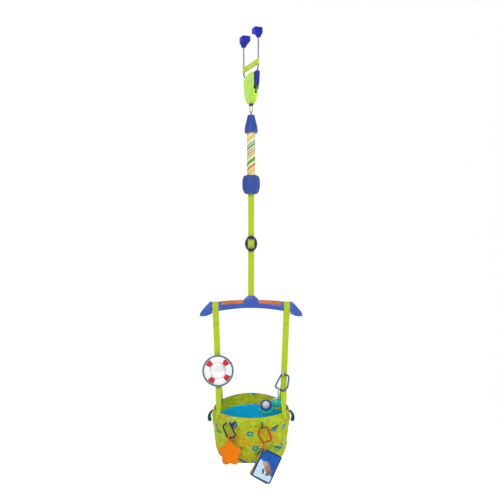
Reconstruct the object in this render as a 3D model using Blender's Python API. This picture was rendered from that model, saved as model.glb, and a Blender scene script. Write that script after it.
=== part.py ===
"""Baby doorway jumper: door clamp, sprung strap, spreader bar, sling seat and its toys.

Metres, +Z up. The origin lies on the suspension axis at the height of the clamp pads, midway
between their faces. The wall over the door lies along X, so the pads press along Y. Everything
from the link down hangs turned about Z by TURN, and is modelled in that turned frame.
"""
import math

import bmesh
import bpy
from mathutils import Matrix, Vector

# Shared values
GAP = 0.0003
CHAIN_GAP = 0.0006
OVERRUN = 0.004
TURN = math.radians(-22.6)
SHARP_ANGLE = math.radians(35.0)
WEBBING_WIDTH = 0.025
WEBBING_THICKNESS = 0.0016
ROUND_SIDES = 16
WIRE_SIDES = 8

# Clamp: pads and rods
WALL_GAP = 0.100
PAD_WIDTH = 0.036
PAD_RISE = 0.019
PAD_FACE_HEIGHT = 0.025
PAD_FACE_THICKNESS = 0.0065
PAD_BACK_WALL = 0.0045
PAD_TAIL_HEIGHT = 0.019
PAD_TAIL_WIDTH = 0.016
PAD_TAIL_DEPTH = 0.012
PAD_SOCKET_DEPTH = 0.016
PAD_CORNER = 0.004
ROD_DIAMETER = 0.0065
ROD_STAND_OFF = 0.027
REAR_ROD_STAND_OFF = 0.032

# Clamp: housing
ARM_DROP = 0.159
HOUSING_HEIGHT = 0.129
HOUSING_DEPTH = 0.114
HOUSING_THICKNESS = 0.027
HOUSING_FOOT_THICKNESS = 0.022
HOUSING_WALL = 0.002
HOUSING_CROWN = 0.003
SLOT_SILL_RISE = 0.0525
SLOT_SILL_DROP = HOUSING_HEIGHT - SLOT_SILL_RISE
SLOT_DEPTH = 0.017
NOTCH_WIDTH = 0.009
NOTCH_DROP = 0.016
# Depth from the axis as a share of half the depth, and height down as a share of the height
HOUSING_OUTLINE_SHARES = (
    (-0.35, 0.000), (-0.78, 0.010), (-0.98, 0.080), (-1.00, 0.250), (-0.99, 0.430),
    (-0.92, 0.640), (-0.70, 0.830), (-0.42, 0.950), (-0.14, 1.000), (0.14, 1.000),
    (0.40, 0.950), (0.62, 0.840), (0.80, 0.670), (0.92, 0.450), (0.98, 0.220),
    (0.90, 0.120), (0.58, 0.060), (0.15, 0.010),
)

# Clamp: lever arm
PIVOT_SETBACK = 0.036
PIVOT_RISE = 0.038
PIVOT_DROP = HOUSING_HEIGHT - PIVOT_RISE
PIVOT_PIN_DIAMETER = 0.006
EYE_WALL = 0.0032
EYE_WIDTH = 0.0065
GRIP_DIAMETER = 0.021
GRIP_DROP = 0.003
GRIP_SILL_GAP = 0.0165
GRIP_LENGTH = SLOT_SILL_DROP - GRIP_DROP - GRIP_SILL_GAP
GRIP_TOP_SETBACK = 0.068
GRIP_FOOT_SETBACK = 0.0615
FERRULE_DIAMETER = 0.017
FERRULE_LENGTH = 0.009
GRIP_EDGE = 0.0025
TORSION_WIRE = 0.0016
TORSION_TURNS = 2
TORSION_LEG = 0.007
TORSION_PITCH = 0.0019
TORSION_STEPS = 12
BOSS_DIAMETER = 0.009
REAR_ROD_TAIL = 0.042
REAR_ROD_ENTRY = 0.050
REAR_JOG_DROP = 0.146

# Clamp: safety strap
SAFETY_TOP = 0.1125

# Load path under the housing
BLOCK_NECK_WIDTH = 0.013
BLOCK_NECK_DEPTH = 0.020
BLOCK_FLANGE = 0.002
BLOCK_FLANGE_HEIGHT = 0.004
BLOCK_REACH = 0.007
BLOCK_SLOT = 0.005
HANGER_PIN_DIAMETER = 0.004
HANGER_PIN_DROP = 0.003
CHAIN_WIRE = 0.003
LINK_BEND_RADIUS = 0.0055
LINK_LENGTH = 0.0393
EYE_BEND_RADIUS = 0.0055
STEM_DIAMETER = 0.006
STEM_LENGTH = 0.026
STEM_HEAD_DIAMETER = 0.011
STEM_HEAD_HEIGHT = 0.003

# Spring unit
CAP_STEM_SHOWN = 0.0089
TOP_CAP_HEIGHT = 0.077
TOP_CAP_DIAMETER = 0.055
SLEEVE_LENGTH = 0.179
SLEEVE_DIAMETER = 0.035
SLEEVE_WALL = 0.001
SLEEVE_TUCK = 0.016
BOTTOM_CAP_HEIGHT = 0.0765
BOTTOM_CAP_WIDTH = 0.074
BOTTOM_CAP_DEPTH = 0.060
CAP_CHAMBER_DIAMETER = 0.016
CAP_SIDES = 20
SPRING_DIAMETER = 0.0262
SPRING_WIRE = 0.003
SPRING_TURNS = 25
SPRING_SEGMENTS = 7
SPRING_SIDES = 4
PLUG_PLATE = 0.005
PLUG_POST_LENGTH = 0.012
# Radius as a share of the largest radius, and height down as a share of the cap's height
TOP_CAP_SHARES = (
    (0.34, 0.00), (0.50, 0.02), (0.575, 0.07), (0.62, 0.16), (0.70, 0.30), (0.82, 0.46),
    (0.93, 0.62), (0.985, 0.76), (1.00, 0.87), (0.985, 0.95), (0.93, 1.00),
)
BOTTOM_CAP_SHARES = (
    (0.74, 0.00), (0.84, 0.03), (0.93, 0.12), (0.985, 0.27), (1.00, 0.45), (0.985, 0.62),
    (0.93, 0.78), (0.82, 0.91), (0.70, 0.98), (0.62, 1.00),
)
ANCHOR_PIN_DIAMETER = 0.006
ANCHOR_PIN_DROP = 0.052
ANCHOR_CHAMBER_DEPTH = 0.014

# Height strap and buckle
MAIN_STRAP_LENGTH = 0.4195
BUCKLE_DROP = 0.2065
BUCKLE_WIDTH = 0.051
BUCKLE_HEIGHT = 0.066
BUCKLE_WINDOW_HEIGHT = 0.0165
BUCKLE_WINDOW_CORNER = 0.0015
BUCKLE_ENTRY = 0.003
BUCKLE_THICKNESS = 0.007
BUCKLE_BAR_HEIGHT = 0.007
BUCKLE_BAR_THICKNESS = 0.003
BUCKLE_SIDES = 24
STRAND_SPACING = 0.0022
STRAND_BEND = 0.010
STRAND_SPLIT_SHARE = 0.4
TAIL_END = 0.018

# Spreader bar, in the hanging frame
BAR_LENGTH = 0.420
BAR_HALF_DEPTH = 0.019
BAR_ROUND_SHARE = 0.62
BAR_SIDES = 20
BAR_PIN_DIAMETER = 0.008
BAR_PIN_DROP = 0.026
BAR_PIN_LENGTH = 0.034
HUB_CHAMBER_HALF_DEPTH = 0.0115
HUB_CHAMBER_FLOOR = 0.010
SADDLE_SHARE = 0.69524
SADDLE_REACH = BAR_LENGTH / 2.0 * SADDLE_SHARE
SADDLE_RADIUS = 0.0185
SADDLE_WIDTH = 0.0275
SADDLE_DROP = 0.0455
INSERT_INNER = 0.031
INSERT_SADDLE_GAP = 0.025
INSERT_OUTER = SADDLE_REACH - INSERT_SADDLE_GAP
INSERT_HEIGHT = 0.016
INSERT_STEPS = 4
# Reach from the middle as a share of half the length, then the top edge, the bottom edge and
# the half depth, each as a share of the bar's own height or of its half depth
BAR_HEIGHT = 0.086
BAR_PROFILE_SHARES = (
    (0.000, 0.000, 0.605, 1.00), (0.062, 0.000, 0.607, 1.00), (0.100, 0.080, 0.609, 1.00),
    (0.143, 0.180, 0.613, 0.99), (0.150, 0.214, 0.614, 0.98), (0.250, 0.220, 0.630, 0.96),
    (0.380, 0.232, 0.660, 0.94), (0.500, 0.250, 0.700, 0.92), (0.600, 0.275, 0.735, 0.91),
    (0.626, 0.282, 0.745, 0.98), (0.762, 0.282, 0.870, 0.98), (0.800, 0.295, 0.915, 0.92),
    (0.860, 0.440, 0.975, 0.86), (0.900, 0.558, 1.000, 0.80), (0.950, 0.690, 1.000, 0.70),
    (0.985, 0.810, 0.998, 0.58), (1.000, 0.900, 0.985, 0.42),
)

# Seat, in the hanging frame
SEAT_HALF_WIDTH = 0.158
SEAT_HALF_DEPTH = 0.120
RIM_SIDE_FALL = 0.457
RIM_BACK_RISE = 0.052
RIM_FRONT_FALL = 0.032
SEAT_HEIGHT = 0.214
SHELL_THICKNESS = 0.005
LINING_THICKNESS = 0.002
LINING_DROP = 0.045
SEAT_STEPS = 34
PUCKER_DEPTH = 0.0016
PUCKER_COUNT = 10
LEG_HOLE_WIDTH = 0.105
LEG_HOLE_DEPTH = 0.130
LEG_HOLE_SPACING = 0.152
LEG_HOLE_SETBACK = 0.008
LEG_HOLE_REACH = 0.060
RIM_BEND_SHARE = 1.3
# Height down from the rim as a share of the seat's height, and size as a share of the widest
SEAT_PROFILE_SHARES = (
    (0.00, 0.950), (0.06, 0.968), (0.16, 0.992), (0.30, 1.000), (0.48, 0.985), (0.64, 0.945),
    (0.78, 0.880), (0.88, 0.800), (0.95, 0.700), (0.99, 0.560),
)

# Side straps, in the hanging frame
STRAP_SEW_FALL = 0.098
STRAP_SPLIT_RISE = 0.088
STRAP_FRONT_ANGLE = 32.0
STRAP_REAR_ANGLE = 36.0
SADDLE_SPREAD = 21.0
RIM_LIFT = 0.005
STRAP_FOOT_GAPS = 1.6
STRAP_FOOT_REACH = 0.128
SADDLE_STRAP_STEPS = 14
LEG_STEPS = 5

# Mirror toy on the left strap
MIRROR_SPLIT_RISE = 0.062
MIRROR_DIAMETER = 0.128
MIRROR_RIM_WIDTH = 0.0068
MIRROR_GLASS_DIAMETER = 0.063
MIRROR_BODY_THICKNESS = 0.014
RED_BLOCK_RISE = 0.0006
RED_BLOCK_WIDTH = 0.029
RED_BLOCK_INNER = 0.0335
RED_BLOCK_STEPS = 4
RED_BLOCK_OUTER = 0.0550
RED_PLATE_THICKNESS = 0.002
RED_BLOCK_ANGLES = tuple(math.radians(angle) for angle in (46.0, 141.0, 236.0, 323.0))
MIRROR_STEPS = 36
CLIP_CLEARANCE = 0.001
CLIP_LIP = 0.0075
CLIP_HEIGHT = 0.030
CLIP_WALL = 0.0025

# Links, ribbons and tabs
LINK_WIRE = 0.0065
LINK_CORNER = 0.010
LINK_PLAY = 0.0015
LINK_STAND_OFF = 0.0085
TAB_LOOP_WIDTH = 0.006
TAB_THICKNESS = 0.0014
TAB_WIDTH = 0.012
TAB_RISE = 0.017
LOOP_STEPS = 5
LUG_BAR = 0.003
LUG_SLOT = 0.0034
LUG_THICKNESS = 0.004
LUG_HEIGHT = 0.011
LUG_RISE = 0.0058
SIDE_LOOP_ANGLE = -9.0
SIDE_LOOP_STAND_OFF = 0.0016
SIDE_LOOP_SHARE = 0.20
SIDE_LOOP_RADIUS = 0.005
STRAP_LINK_SETBACK = 0.0082
STRAP_LINK_LEAN_SHARE = 0.16
# Corners as (reach from the suspension axis, fall below the seat's side rim)
STRAP_LINK_PLACES = (
    (0.1230, -0.1370), (0.1540, -0.1310), (0.1480, -0.0840), (0.1300, -0.0690), (0.0960, -0.0850),
)
STAR_LINK_PLACES = (
    (-0.1100, 0.0640), (-0.0830, 0.0460), (-0.0555, 0.1025), (-0.0870, 0.1125),
)
RED_LINK_PLACES = (
    (0.0330, 0.0650), (0.0640, 0.0670), (0.0790, 0.1190), (0.0470, 0.1270), (0.0250, 0.0970),
)

# Rattle
RATTLE_SETBACK = 0.006
RATTLE_RISE = 0.0130
RATTLE_REACH = 0.060
RATTLE_HANG_SHARE = 0.42
RATTLE_DEPTH = 0.036
DOME_WIDTH = 0.050
DOME_HEIGHT = 0.037
DOME_REACH = 0.104
DOME_RISE = 0.0210
BEAD_DIAMETER = 0.033
BEAD_HOLE_DIAMETER = 0.005
BEAD_STEPS = 8
RATTLE_RIBBON_WIDTH = 0.006
FRAME_DIAMETER = 0.046
FRAME_DEPTH = 0.016
FRAME_CLEARANCE = 0.001
LOBE_COUNT = 4
LOBE_DIAMETER = 0.017
LOBE_NECK_SHARE = 0.5
LOBE_START = 205.0
LOBE_END = 350.0
LOBE_STEPS = 5

# Star
STAR_REACH = -0.0790
STAR_FALL = 0.1700
STAR_RADIUS = 0.0460
STAR_STAND_OFF = 0.0015
STAR_WAIST_SHARE = 0.66
STAR_THICKNESS = 0.018
STAR_TURN = math.radians(3.0)
STAR_STEPS = 30
STAR_LEVEL_SHARES = (
    (-1.00, 0.74), (-0.88, 0.88), (-0.55, 0.97), (0.00, 1.00), (0.55, 0.97), (0.88, 0.88),
    (1.00, 0.74),
)

# Picture cards
CARD_WIDTH = 0.085
CARD_HEIGHT = 0.1175
CARD_THICKNESS = 0.0050
CARD_CORNER = 0.007
CARD_HANG_REACH = 0.052
CARD_HANG_FALL = 0.1490
CARD_TILT = math.radians(26.5)
CARD_FAN = math.radians(4.0)
CARD_HOLE_INSET = 0.009
CARD_HOLE_DIAMETER = 0.010
CARD_EDGE = 0.0012
CARD_RIBBON_DIP = 0.0012
CARD_RIBBON_WIDTH = 0.006
CARD_PLAY = 0.0012

# Materials: colour, roughness, metallic
MATERIALS = {
    "lime_plastic": ((0.42, 0.78, 0.06), 0.38, 0.0),
    "deep_blue_plastic": ((0.02, 0.03, 0.42), 0.42, 0.0),
    "blue_rubber": ((0.02, 0.03, 0.36), 0.75, 0.0),
    "black_plastic": ((0.01, 0.01, 0.012), 0.45, 0.0),
    "rod_steel": ((0.42, 0.43, 0.47), 0.32, 1.0),
    "spring_steel": ((0.50, 0.51, 0.53), 0.30, 1.0),
    "lime_webbing": ((0.45, 0.66, 0.03), 0.85, 0.0),
    "cap_blue_plastic": ((0.06, 0.09, 0.36), 0.45, 0.0),
    "striped_fabric": ((0.80, 0.78, 0.58), 0.90, 0.0),
    "grey_plastic": ((0.25, 0.25, 0.26), 0.50, 0.0),
    "navy_plastic": ((0.01, 0.03, 0.09), 0.42, 0.0),
    "bar_blue_plastic": ((0.07, 0.12, 0.50), 0.40, 0.0),
    "orange_rubber": ((0.68, 0.16, 0.04), 0.65, 0.0),
    "print_fabric": ((0.48, 0.60, 0.03), 0.92, 0.0),
    "blue_lining": ((0.00, 0.26, 0.58), 0.90, 0.0),
    "green_ribbon": ((0.02, 0.20, 0.08), 0.70, 0.0),
    "pale_ribbon": ((0.70, 0.72, 0.62), 0.80, 0.0),
    "white_plastic": ((0.86, 0.86, 0.86), 0.40, 0.0),
    "red_plastic": ((0.67, 0.01, 0.05), 0.40, 0.0),
    "teal_plastic": ((0.05, 0.20, 0.26), 0.40, 0.0),
    "mirror_film": ((0.90, 0.90, 0.90), 0.06, 1.0),
    "link_teal_plastic": ((0.03, 0.16, 0.26), 0.40, 0.0),
    "rattle_navy_plastic": ((0.01, 0.05, 0.26), 0.38, 0.0),
    "rattle_teal_plastic": ((0.00, 0.43, 0.30), 0.35, 0.0),
    "bead_plastic": ((0.74, 0.66, 0.82), 0.35, 0.0),
    "orange_soft": ((1.00, 0.22, 0.01), 0.60, 0.0),
    "red_link_plastic": ((0.48, 0.02, 0.01), 0.40, 0.0),
    "card_blue_print": ((0.01, 0.14, 0.60), 0.55, 0.0),
    "card_back_print": ((0.42, 0.40, 0.05), 0.60, 0.0),
}

HALF_GAP = WALL_GAP / 2.0
FRONT_ROD_Y = -(HALF_GAP + ROD_STAND_OFF)
REAR_ROD_Y = HALF_GAP + REAR_ROD_STAND_OFF
ROD_RADIUS = ROD_DIAMETER / 2.0
HOUSING_TOP = -ARM_DROP
HOUSING_FOOT = -(ARM_DROP + HOUSING_HEIGHT)
HANGER_PIN_Z = HOUSING_FOOT - HANGER_PIN_DROP
LINK_TOP_BEND = HANGER_PIN_Z + (HANGER_PIN_DIAMETER + CHAIN_WIRE) / 2.0 + CHAIN_GAP - LINK_BEND_RADIUS
LINK_FOOT = LINK_TOP_BEND + LINK_BEND_RADIUS - (LINK_LENGTH - CHAIN_WIRE)
EYE_CENTRE = LINK_FOOT + CHAIN_WIRE + CHAIN_GAP - EYE_BEND_RADIUS
TOP_CAP_TOP = CAP_STEM_SHOWN - EYE_CENTRE
TOP_CAP_FOOT = -(TOP_CAP_TOP + TOP_CAP_HEIGHT)
BOTTOM_CAP_TOP = TOP_CAP_FOOT - SLEEVE_LENGTH
BOTTOM_CAP_FOOT = BOTTOM_CAP_TOP - BOTTOM_CAP_HEIGHT
ANCHOR_PIN_Z = BOTTOM_CAP_TOP - ANCHOR_PIN_DROP
BUCKLE_Z = BOTTOM_CAP_FOOT - BUCKLE_DROP
BAR_TOP = BOTTOM_CAP_FOOT - MAIN_STRAP_LENGTH
BAR_PIN_Z = BAR_TOP - BAR_PIN_DROP
SADDLE_Z = BAR_TOP - SADDLE_DROP
RIM_SIDE_DROP = RIM_SIDE_FALL - BAR_TOP
RIM_BACK_DROP = RIM_SIDE_DROP - RIM_BACK_RISE
RIM_FRONT_DROP = RIM_SIDE_DROP + RIM_FRONT_FALL
SEAT_FOOT_DROP = RIM_SIDE_DROP + SEAT_HEIGHT
STRAP_SEW_DROP = STRAP_SEW_FALL - BAR_TOP
STRAP_SPLIT_DROP = RIM_SIDE_DROP - STRAP_SPLIT_RISE
MIRROR_DROP = STRAP_SPLIT_DROP - MIRROR_SPLIT_RISE
RATTLE_DROP = RIM_SIDE_DROP - RATTLE_RISE
DOME_DROP = RIM_SIDE_DROP - DOME_RISE
STAR_DROP = RIM_SIDE_DROP + STAR_FALL
CARD_HANG_DROP = RIM_SIDE_DROP + CARD_HANG_FALL
STRAP_LINK_CORNERS = tuple((reach, RIM_SIDE_DROP + fall) for reach, fall in STRAP_LINK_PLACES)
STAR_LINK_CORNERS = tuple((reach, RIM_SIDE_DROP + fall) for reach, fall in STAR_LINK_PLACES)
RED_LINK_CORNERS = tuple((reach, RIM_SIDE_DROP + fall) for reach, fall in RED_LINK_PLACES)

UP = Vector((0.0, 0.0, 1.0))
RIGHT = Vector((1.0, 0.0, 0.0))
FRONT = Vector((0.0, -1.0, 0.0))

materials = {}


def clear_scene():
    """Take out whatever the file held before."""
    for obj in list(bpy.data.objects):
        bpy.data.objects.remove(obj, do_unlink=True)


def material(name):
    """One Principled material for each finish, made once."""
    if name not in materials:
        colour, roughness, metallic = MATERIALS[name]
        made = bpy.data.materials.new(name)
        made.use_nodes = True
        shader = made.node_tree.nodes["Principled BSDF"]
        shader.inputs["Base Color"].default_value = (*colour, 1.0)
        shader.inputs["Roughness"].default_value = roughness
        shader.inputs["Metallic"].default_value = metallic
        materials[name] = made
    return materials[name]


class Pivot:
    """An empty on a joint's axis, which carries the pieces that turn or slide with it."""

    def __init__(self, name, place=(0.0, 0.0, 0.0), carrier=None):
        self.place = Vector(place)
        self.empty = bpy.data.objects.new(name, None)
        bpy.context.scene.collection.objects.link(self.empty)
        self.empty.location = self.place
        if carrier:
            self.empty.parent = carrier


def add_piece(name, bm, finish, pivot, smooth=True):
    """Turn a bmesh, modelled in place, into a named object that hangs on its pivot."""
    bmesh.ops.recalc_face_normals(bm, faces=bm.faces)
    mesh = bpy.data.meshes.new(name)
    bm.to_mesh(mesh)
    bm.free()
    if smooth:
        mesh.shade_smooth()
        mesh.set_sharp_from_angle(angle=SHARP_ANGLE)
    mesh.materials.append(material(finish))
    obj = bpy.data.objects.new(name, mesh)
    bpy.context.scene.collection.objects.link(obj)
    obj.parent = pivot.empty
    obj.location = -pivot.place
    return obj


def add_tool(name, bm, pivot):
    """A hidden solid that only cuts or joins."""
    bmesh.ops.recalc_face_normals(bm, faces=bm.faces)
    mesh = bpy.data.meshes.new(name)
    bm.to_mesh(mesh)
    bm.free()
    obj = bpy.data.objects.new(name, mesh)
    bpy.context.scene.collection.objects.link(obj)
    obj.parent = pivot.empty
    obj.location = -pivot.place
    obj.hide_render = True
    obj.display_type = 'WIRE'
    return obj


def combine(obj, tool, operation):
    """Add an exact Boolean: DIFFERENCE, UNION or INTERSECT."""
    change = obj.modifiers.new(operation.lower(), 'BOOLEAN')
    change.operation = operation
    change.solver = 'EXACT'
    change.object = tool


def cut(obj, pivot, *solids):
    """Cut each bmesh out of the object."""
    for number, bm in enumerate(solids):
        combine(obj, add_tool(f"{obj.name}_cutter_{number}", bm, pivot), 'DIFFERENCE')


def join(obj, pivot, *solids):
    """Join each bmesh to the object."""
    for number, bm in enumerate(solids):
        combine(obj, add_tool(f"{obj.name}_joiner_{number}", bm, pivot), 'UNION')


def loft(rings, closed=False):
    """Skin rings of equal counts into one closed body; closed joins the last to the first."""
    bm = bmesh.new()
    rows = [[bm.verts.new(point) for point in ring] for ring in rings]
    count = len(rows[0])
    pairs = list(zip(rows, rows[1:]))
    if closed:
        pairs.append((rows[-1], rows[0]))
    for low, high in pairs:
        for index in range(count):
            after = (index + 1) % count
            bm.faces.new((low[index], low[after], high[after], high[index]))
    if not closed:
        bm.faces.new(list(reversed(rows[0])))
        bm.faces.new(rows[-1])
    return bm


def smooth_ring(points, steps):
    """Closed curve through the points, with steps points from each to the next."""
    count = len(points)
    ring = []
    for index in range(count):
        before, start, end, after = (Vector(points[(index + shift) % count]) for shift in (-1, 0, 1, 2))
        for step in range(steps):
            ring.append(curve_point(before, start, end, after, step / steps))
    return ring


def smooth_path(points, steps):
    """Open curve through the points, with steps points from each to the next."""
    last = len(points) - 1
    path = []
    for index in range(last):
        around = [Vector(points[min(max(index + shift, 0), last)]) for shift in (-1, 0, 1, 2)]
        for step in range(steps):
            path.append(curve_point(*around, step / steps))
    path.append(Vector(points[-1]))
    return path


def curve_point(before, start, end, after, share):
    """A point between start and end on the smooth curve that passes through all four."""
    square = share * share
    cube = square * share
    return 0.5 * (2.0 * start + (end - before) * share
                  + (2.0 * before - 5.0 * start + 4.0 * end - after) * square
                  + (3.0 * start - before - 3.0 * end + after) * cube)


def arc(centre, radius, first, last, steps, make):
    """Points along an arc; make turns (across, up) into a point."""
    points = []
    for step in range(steps + 1):
        angle = first + (last - first) * step / steps
        points.append(make(centre[0] + radius * math.cos(angle), centre[1] + radius * math.sin(angle)))
    return points


def tube(path, radius, sides=WIRE_SIDES, closed=False):
    """Round tube along a path; radius is one value or one for each point."""
    path = [Vector(point) for point in path]
    count = len(path)
    radii = radius if isinstance(radius, (list, tuple)) else [radius] * count
    tangents = []
    for index in range(count):
        if closed:
            tangent = path[(index + 1) % count] - path[index - 1]
        else:
            tangent = path[min(index + 1, count - 1)] - path[max(index - 1, 0)]
        tangents.append(tangent.normalized())
    lead = Vector((1.0, 0.0, 0.0)) if abs(tangents[0].x) < 0.9 else Vector((0.0, 1.0, 0.0))
    side = tangents[0].cross(lead).normalized()
    sides_along = [side]
    for index in range(1, count):
        turn = tangents[index - 1].rotation_difference(tangents[index])
        side = (turn @ side).normalized()
        sides_along.append(side)
    rings = []
    for index in range(count):
        up = tangents[index].cross(sides_along[index])
        ring = []
        for step in range(sides):
            angle = math.tau * step / sides
            reach = sides_along[index] * math.cos(angle) + up * math.sin(angle)
            ring.append(path[index] + reach * radii[index])
        rings.append(ring)
    return loft(rings, closed)


def turned(profile, sides=ROUND_SIDES, depth_share=1.0):
    """Solid turned about Z from (radius, height) points, squeezed along Y by depth_share."""
    rings = []
    for radius, height in profile:
        rings.append([(radius * math.cos(math.tau * step / sides),
                       radius * math.sin(math.tau * step / sides) * depth_share, height)
                      for step in range(sides)])
    return loft(rings)


def turned_ring(section, sides=ROUND_SIDES, depth_share=1.0):
    """Ring turned about Z from a closed section of (radius, height) points."""
    rings = []
    for step in range(sides):
        angle = math.tau * step / sides
        rings.append([(radius * math.cos(angle), radius * math.sin(angle) * depth_share, height)
                      for radius, height in section])
    return loft(rings, closed=True)


def rod_between(start, end, diameter, sides=16):
    """Straight round rod from start to end."""
    return tube([start, end], diameter / 2.0, sides)


def brick(low, high):
    """Plain block between two corners."""
    bm = bmesh.new()
    bmesh.ops.create_cube(bm, size=1.0)
    size = Vector(high) - Vector(low)
    middle = (Vector(high) + Vector(low)) / 2.0
    for vert in bm.verts:
        vert.co = Vector((vert.co.x * size.x, vert.co.y * size.y, vert.co.z * size.z)) + middle
    return bm


def prism(outline, place, low, high):
    """Outline of (a, b) points made solid between two depths; place makes the 3-D point."""
    return loft([[place(a, b, depth) for a, b in outline] for depth in (low, high)])


def across_x(a, b, depth):
    """An outline in Y and Z, made solid along X."""
    return (depth, a, b)


def across_y(a, b, depth):
    """An outline in X and Z, made solid along Y."""
    return (a, depth, b)


def along_z(a, b, depth):
    """An outline in X and Y, made solid along Z."""
    return (a, b, depth)


def rounded(width, height, corner, steps=3, centre=(0.0, 0.0)):
    """Outline of a rounded rectangle."""
    points = []
    spots = ((1, 1, 0.0), (-1, 1, 0.5), (-1, -1, 1.0), (1, -1, 1.5))
    for sign_a, sign_b, start in spots:
        middle = (centre[0] + sign_a * (width / 2.0 - corner), centre[1] + sign_b * (height / 2.0 - corner))
        for step in range(steps + 1):
            angle = math.pi * (start + 0.5 * step / steps)
            points.append((middle[0] + corner * math.cos(angle), middle[1] + corner * math.sin(angle)))
    return points


def circle(radius, sides=ROUND_SIDES, centre=(0.0, 0.0)):
    """Outline of a circle."""
    return [(centre[0] + radius * math.cos(math.tau * step / sides),
             centre[1] + radius * math.sin(math.tau * step / sides)) for step in range(sides)]


def band(path, width, thickness, across=(1.0, 0.0, 0.0)):
    """Flat webbing along a path; across is the direction of its width."""
    path = [Vector(point) for point in path]
    across = Vector(across).normalized()
    rings = []
    for index, point in enumerate(path):
        ahead = path[min(index + 1, len(path) - 1)]
        behind = path[max(index - 1, 0)]
        normal = across.cross(ahead - behind).normalized() * thickness / 2.0
        half = across * width / 2.0
        rings.append([point - half - normal, point + half - normal, point + half + normal,
                      point - half + normal])
    return loft(rings)


def placed(bm, matrix):
    """Move a bmesh as a whole."""
    bmesh.ops.transform(bm, matrix=matrix, verts=bm.verts)
    return bm


def housing_outline(inset=0.0):
    """Side outline of the clamp housing in Y and Z, drawn in all round by inset."""
    half_depth = HOUSING_DEPTH / 2.0
    half_height = HOUSING_HEIGHT / 2.0
    middle = HOUSING_TOP - half_height
    points = [(half_depth * depth, half_height - HOUSING_HEIGHT * drop)
              for depth, drop in HOUSING_OUTLINE_SHARES]
    keep_depth = 1.0 - inset / half_depth
    keep_height = 1.0 - inset / half_height
    return [(point.x * keep_depth, middle + point.y * keep_height) for point in smooth_ring(points, 2)]


def housing_half_width(z):
    """The housing narrows towards its foot."""
    drop = (HOUSING_TOP - z) / HOUSING_HEIGHT
    return (HOUSING_THICKNESS + (HOUSING_FOOT_THICKNESS - HOUSING_THICKNESS) * drop) / 2.0


def housing_solid(side, levels):
    """Skin housing outlines; each level is (share of half width, offset along X, inset)."""
    rings = []
    for share, offset, inset in levels:
        rings.append([(side * (share * housing_half_width(z) + offset), y, z)
                      for y, z in housing_outline(inset)])
    return loft(rings)


def hanger_block_solid(clearance):
    """The block's neck and flange, larger all round by clearance."""
    flange_foot = HOUSING_FOOT + HOUSING_WALL + BLOCK_FLANGE_HEIGHT / 2.0
    flange_top = flange_foot + BLOCK_FLANGE_HEIGHT
    levels = ((HOUSING_FOOT - BLOCK_REACH, 0.0), (flange_foot - clearance, 0.0),
              (flange_foot - clearance, BLOCK_FLANGE), (flange_top + clearance, BLOCK_FLANGE))
    rings = []
    for z, flange in levels:
        half_x = BLOCK_NECK_WIDTH / 2.0 + flange + clearance
        half_y = BLOCK_NECK_DEPTH / 2.0 + flange + clearance
        rings.append([(half_x, half_y, z), (-half_x, half_y, z), (-half_x, -half_y, z), (half_x, -half_y, z)])
    return loft(rings)


def rear_rod_path():
    """The fixed rod runs down from its pad, jogs in and ends inside the housing."""
    top = PAD_RISE - PAD_FACE_HEIGHT - PAD_TAIL_HEIGHT + PAD_SOCKET_DEPTH - GAP
    jog = -REAR_JOG_DROP
    step = ROD_DIAMETER
    straight = [(0.0, REAR_ROD_Y, top), (0.0, REAR_ROD_Y, jog + 2.0 * step)]
    bend = [(0.0, REAR_ROD_Y, jog + step), (0.0, REAR_ROD_Y - step / 2.0, jog),
            (0.0, REAR_ROD_Y - 2.0 * step, jog - 2.0 * step),
            (0.0, REAR_ROD_ENTRY, jog - 4.0 * step),
            (0.0, REAR_ROD_TAIL, jog - 6.0 * step), (0.0, REAR_ROD_TAIL, jog - 9.0 * step)]
    return straight + smooth_path(bend, 3)


def grip_axis():
    """Top of the grip and the unit direction down along it."""
    top = Vector((0.0, -GRIP_TOP_SETBACK, HOUSING_TOP - GRIP_DROP))
    fall = math.sqrt(GRIP_LENGTH ** 2 - (GRIP_TOP_SETBACK - GRIP_FOOT_SETBACK) ** 2)
    foot = Vector((0.0, -GRIP_FOOT_SETBACK, top.z - fall))
    return top, (foot - top).normalized()


def pivot_point():
    """Axis of the lever arm inside the housing."""
    return Vector((0.0, -PIVOT_SETBACK, HOUSING_TOP - PIVOT_DROP))


def front_rod_path():
    """The lever's rod: straight from the pad, leaning through the grip, then in to the pivot."""
    socket_top = PAD_RISE - PAD_FACE_HEIGHT - PAD_TAIL_HEIGHT + PAD_SOCKET_DEPTH - GAP
    top, down = grip_axis()
    foot = top + down * (GRIP_LENGTH + FERRULE_LENGTH + 2.0 * GAP)
    step = ROD_DIAMETER
    pivot = pivot_point()
    upper = [(0.0, FRONT_ROD_Y, top.z + 3.4 * step), (0.0, FRONT_ROD_Y, top.z + 2.8 * step),
             top - down * step * 0.8, top]
    lower = [foot, foot + down * step / 2.0, (foot + pivot) / 2.0 + down * step / 3.0, pivot]
    return [Vector((0.0, FRONT_ROD_Y, socket_top))] + smooth_path(upper, 3) + smooth_path(lower, 3)


def leaning_ring(top, down, length, outer, edge):
    """A sleeve on the front rod, from top down along the rod, with rounded ends."""
    inner = ROD_RADIUS + GAP
    section = [(inner, 0.0), (outer - edge, 0.0), (outer - edge * 0.3, -edge * 0.3), (outer, -edge),
               (outer, -(length - edge)), (outer - edge * 0.3, -(length - edge * 0.3)),
               (outer - edge, -length), (inner, -length)]
    turn = Vector((0.0, 0.0, -1.0)).rotation_difference(down).to_matrix().to_4x4()
    return placed(turned_ring(section), Matrix.Translation(top) @ turn)


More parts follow.
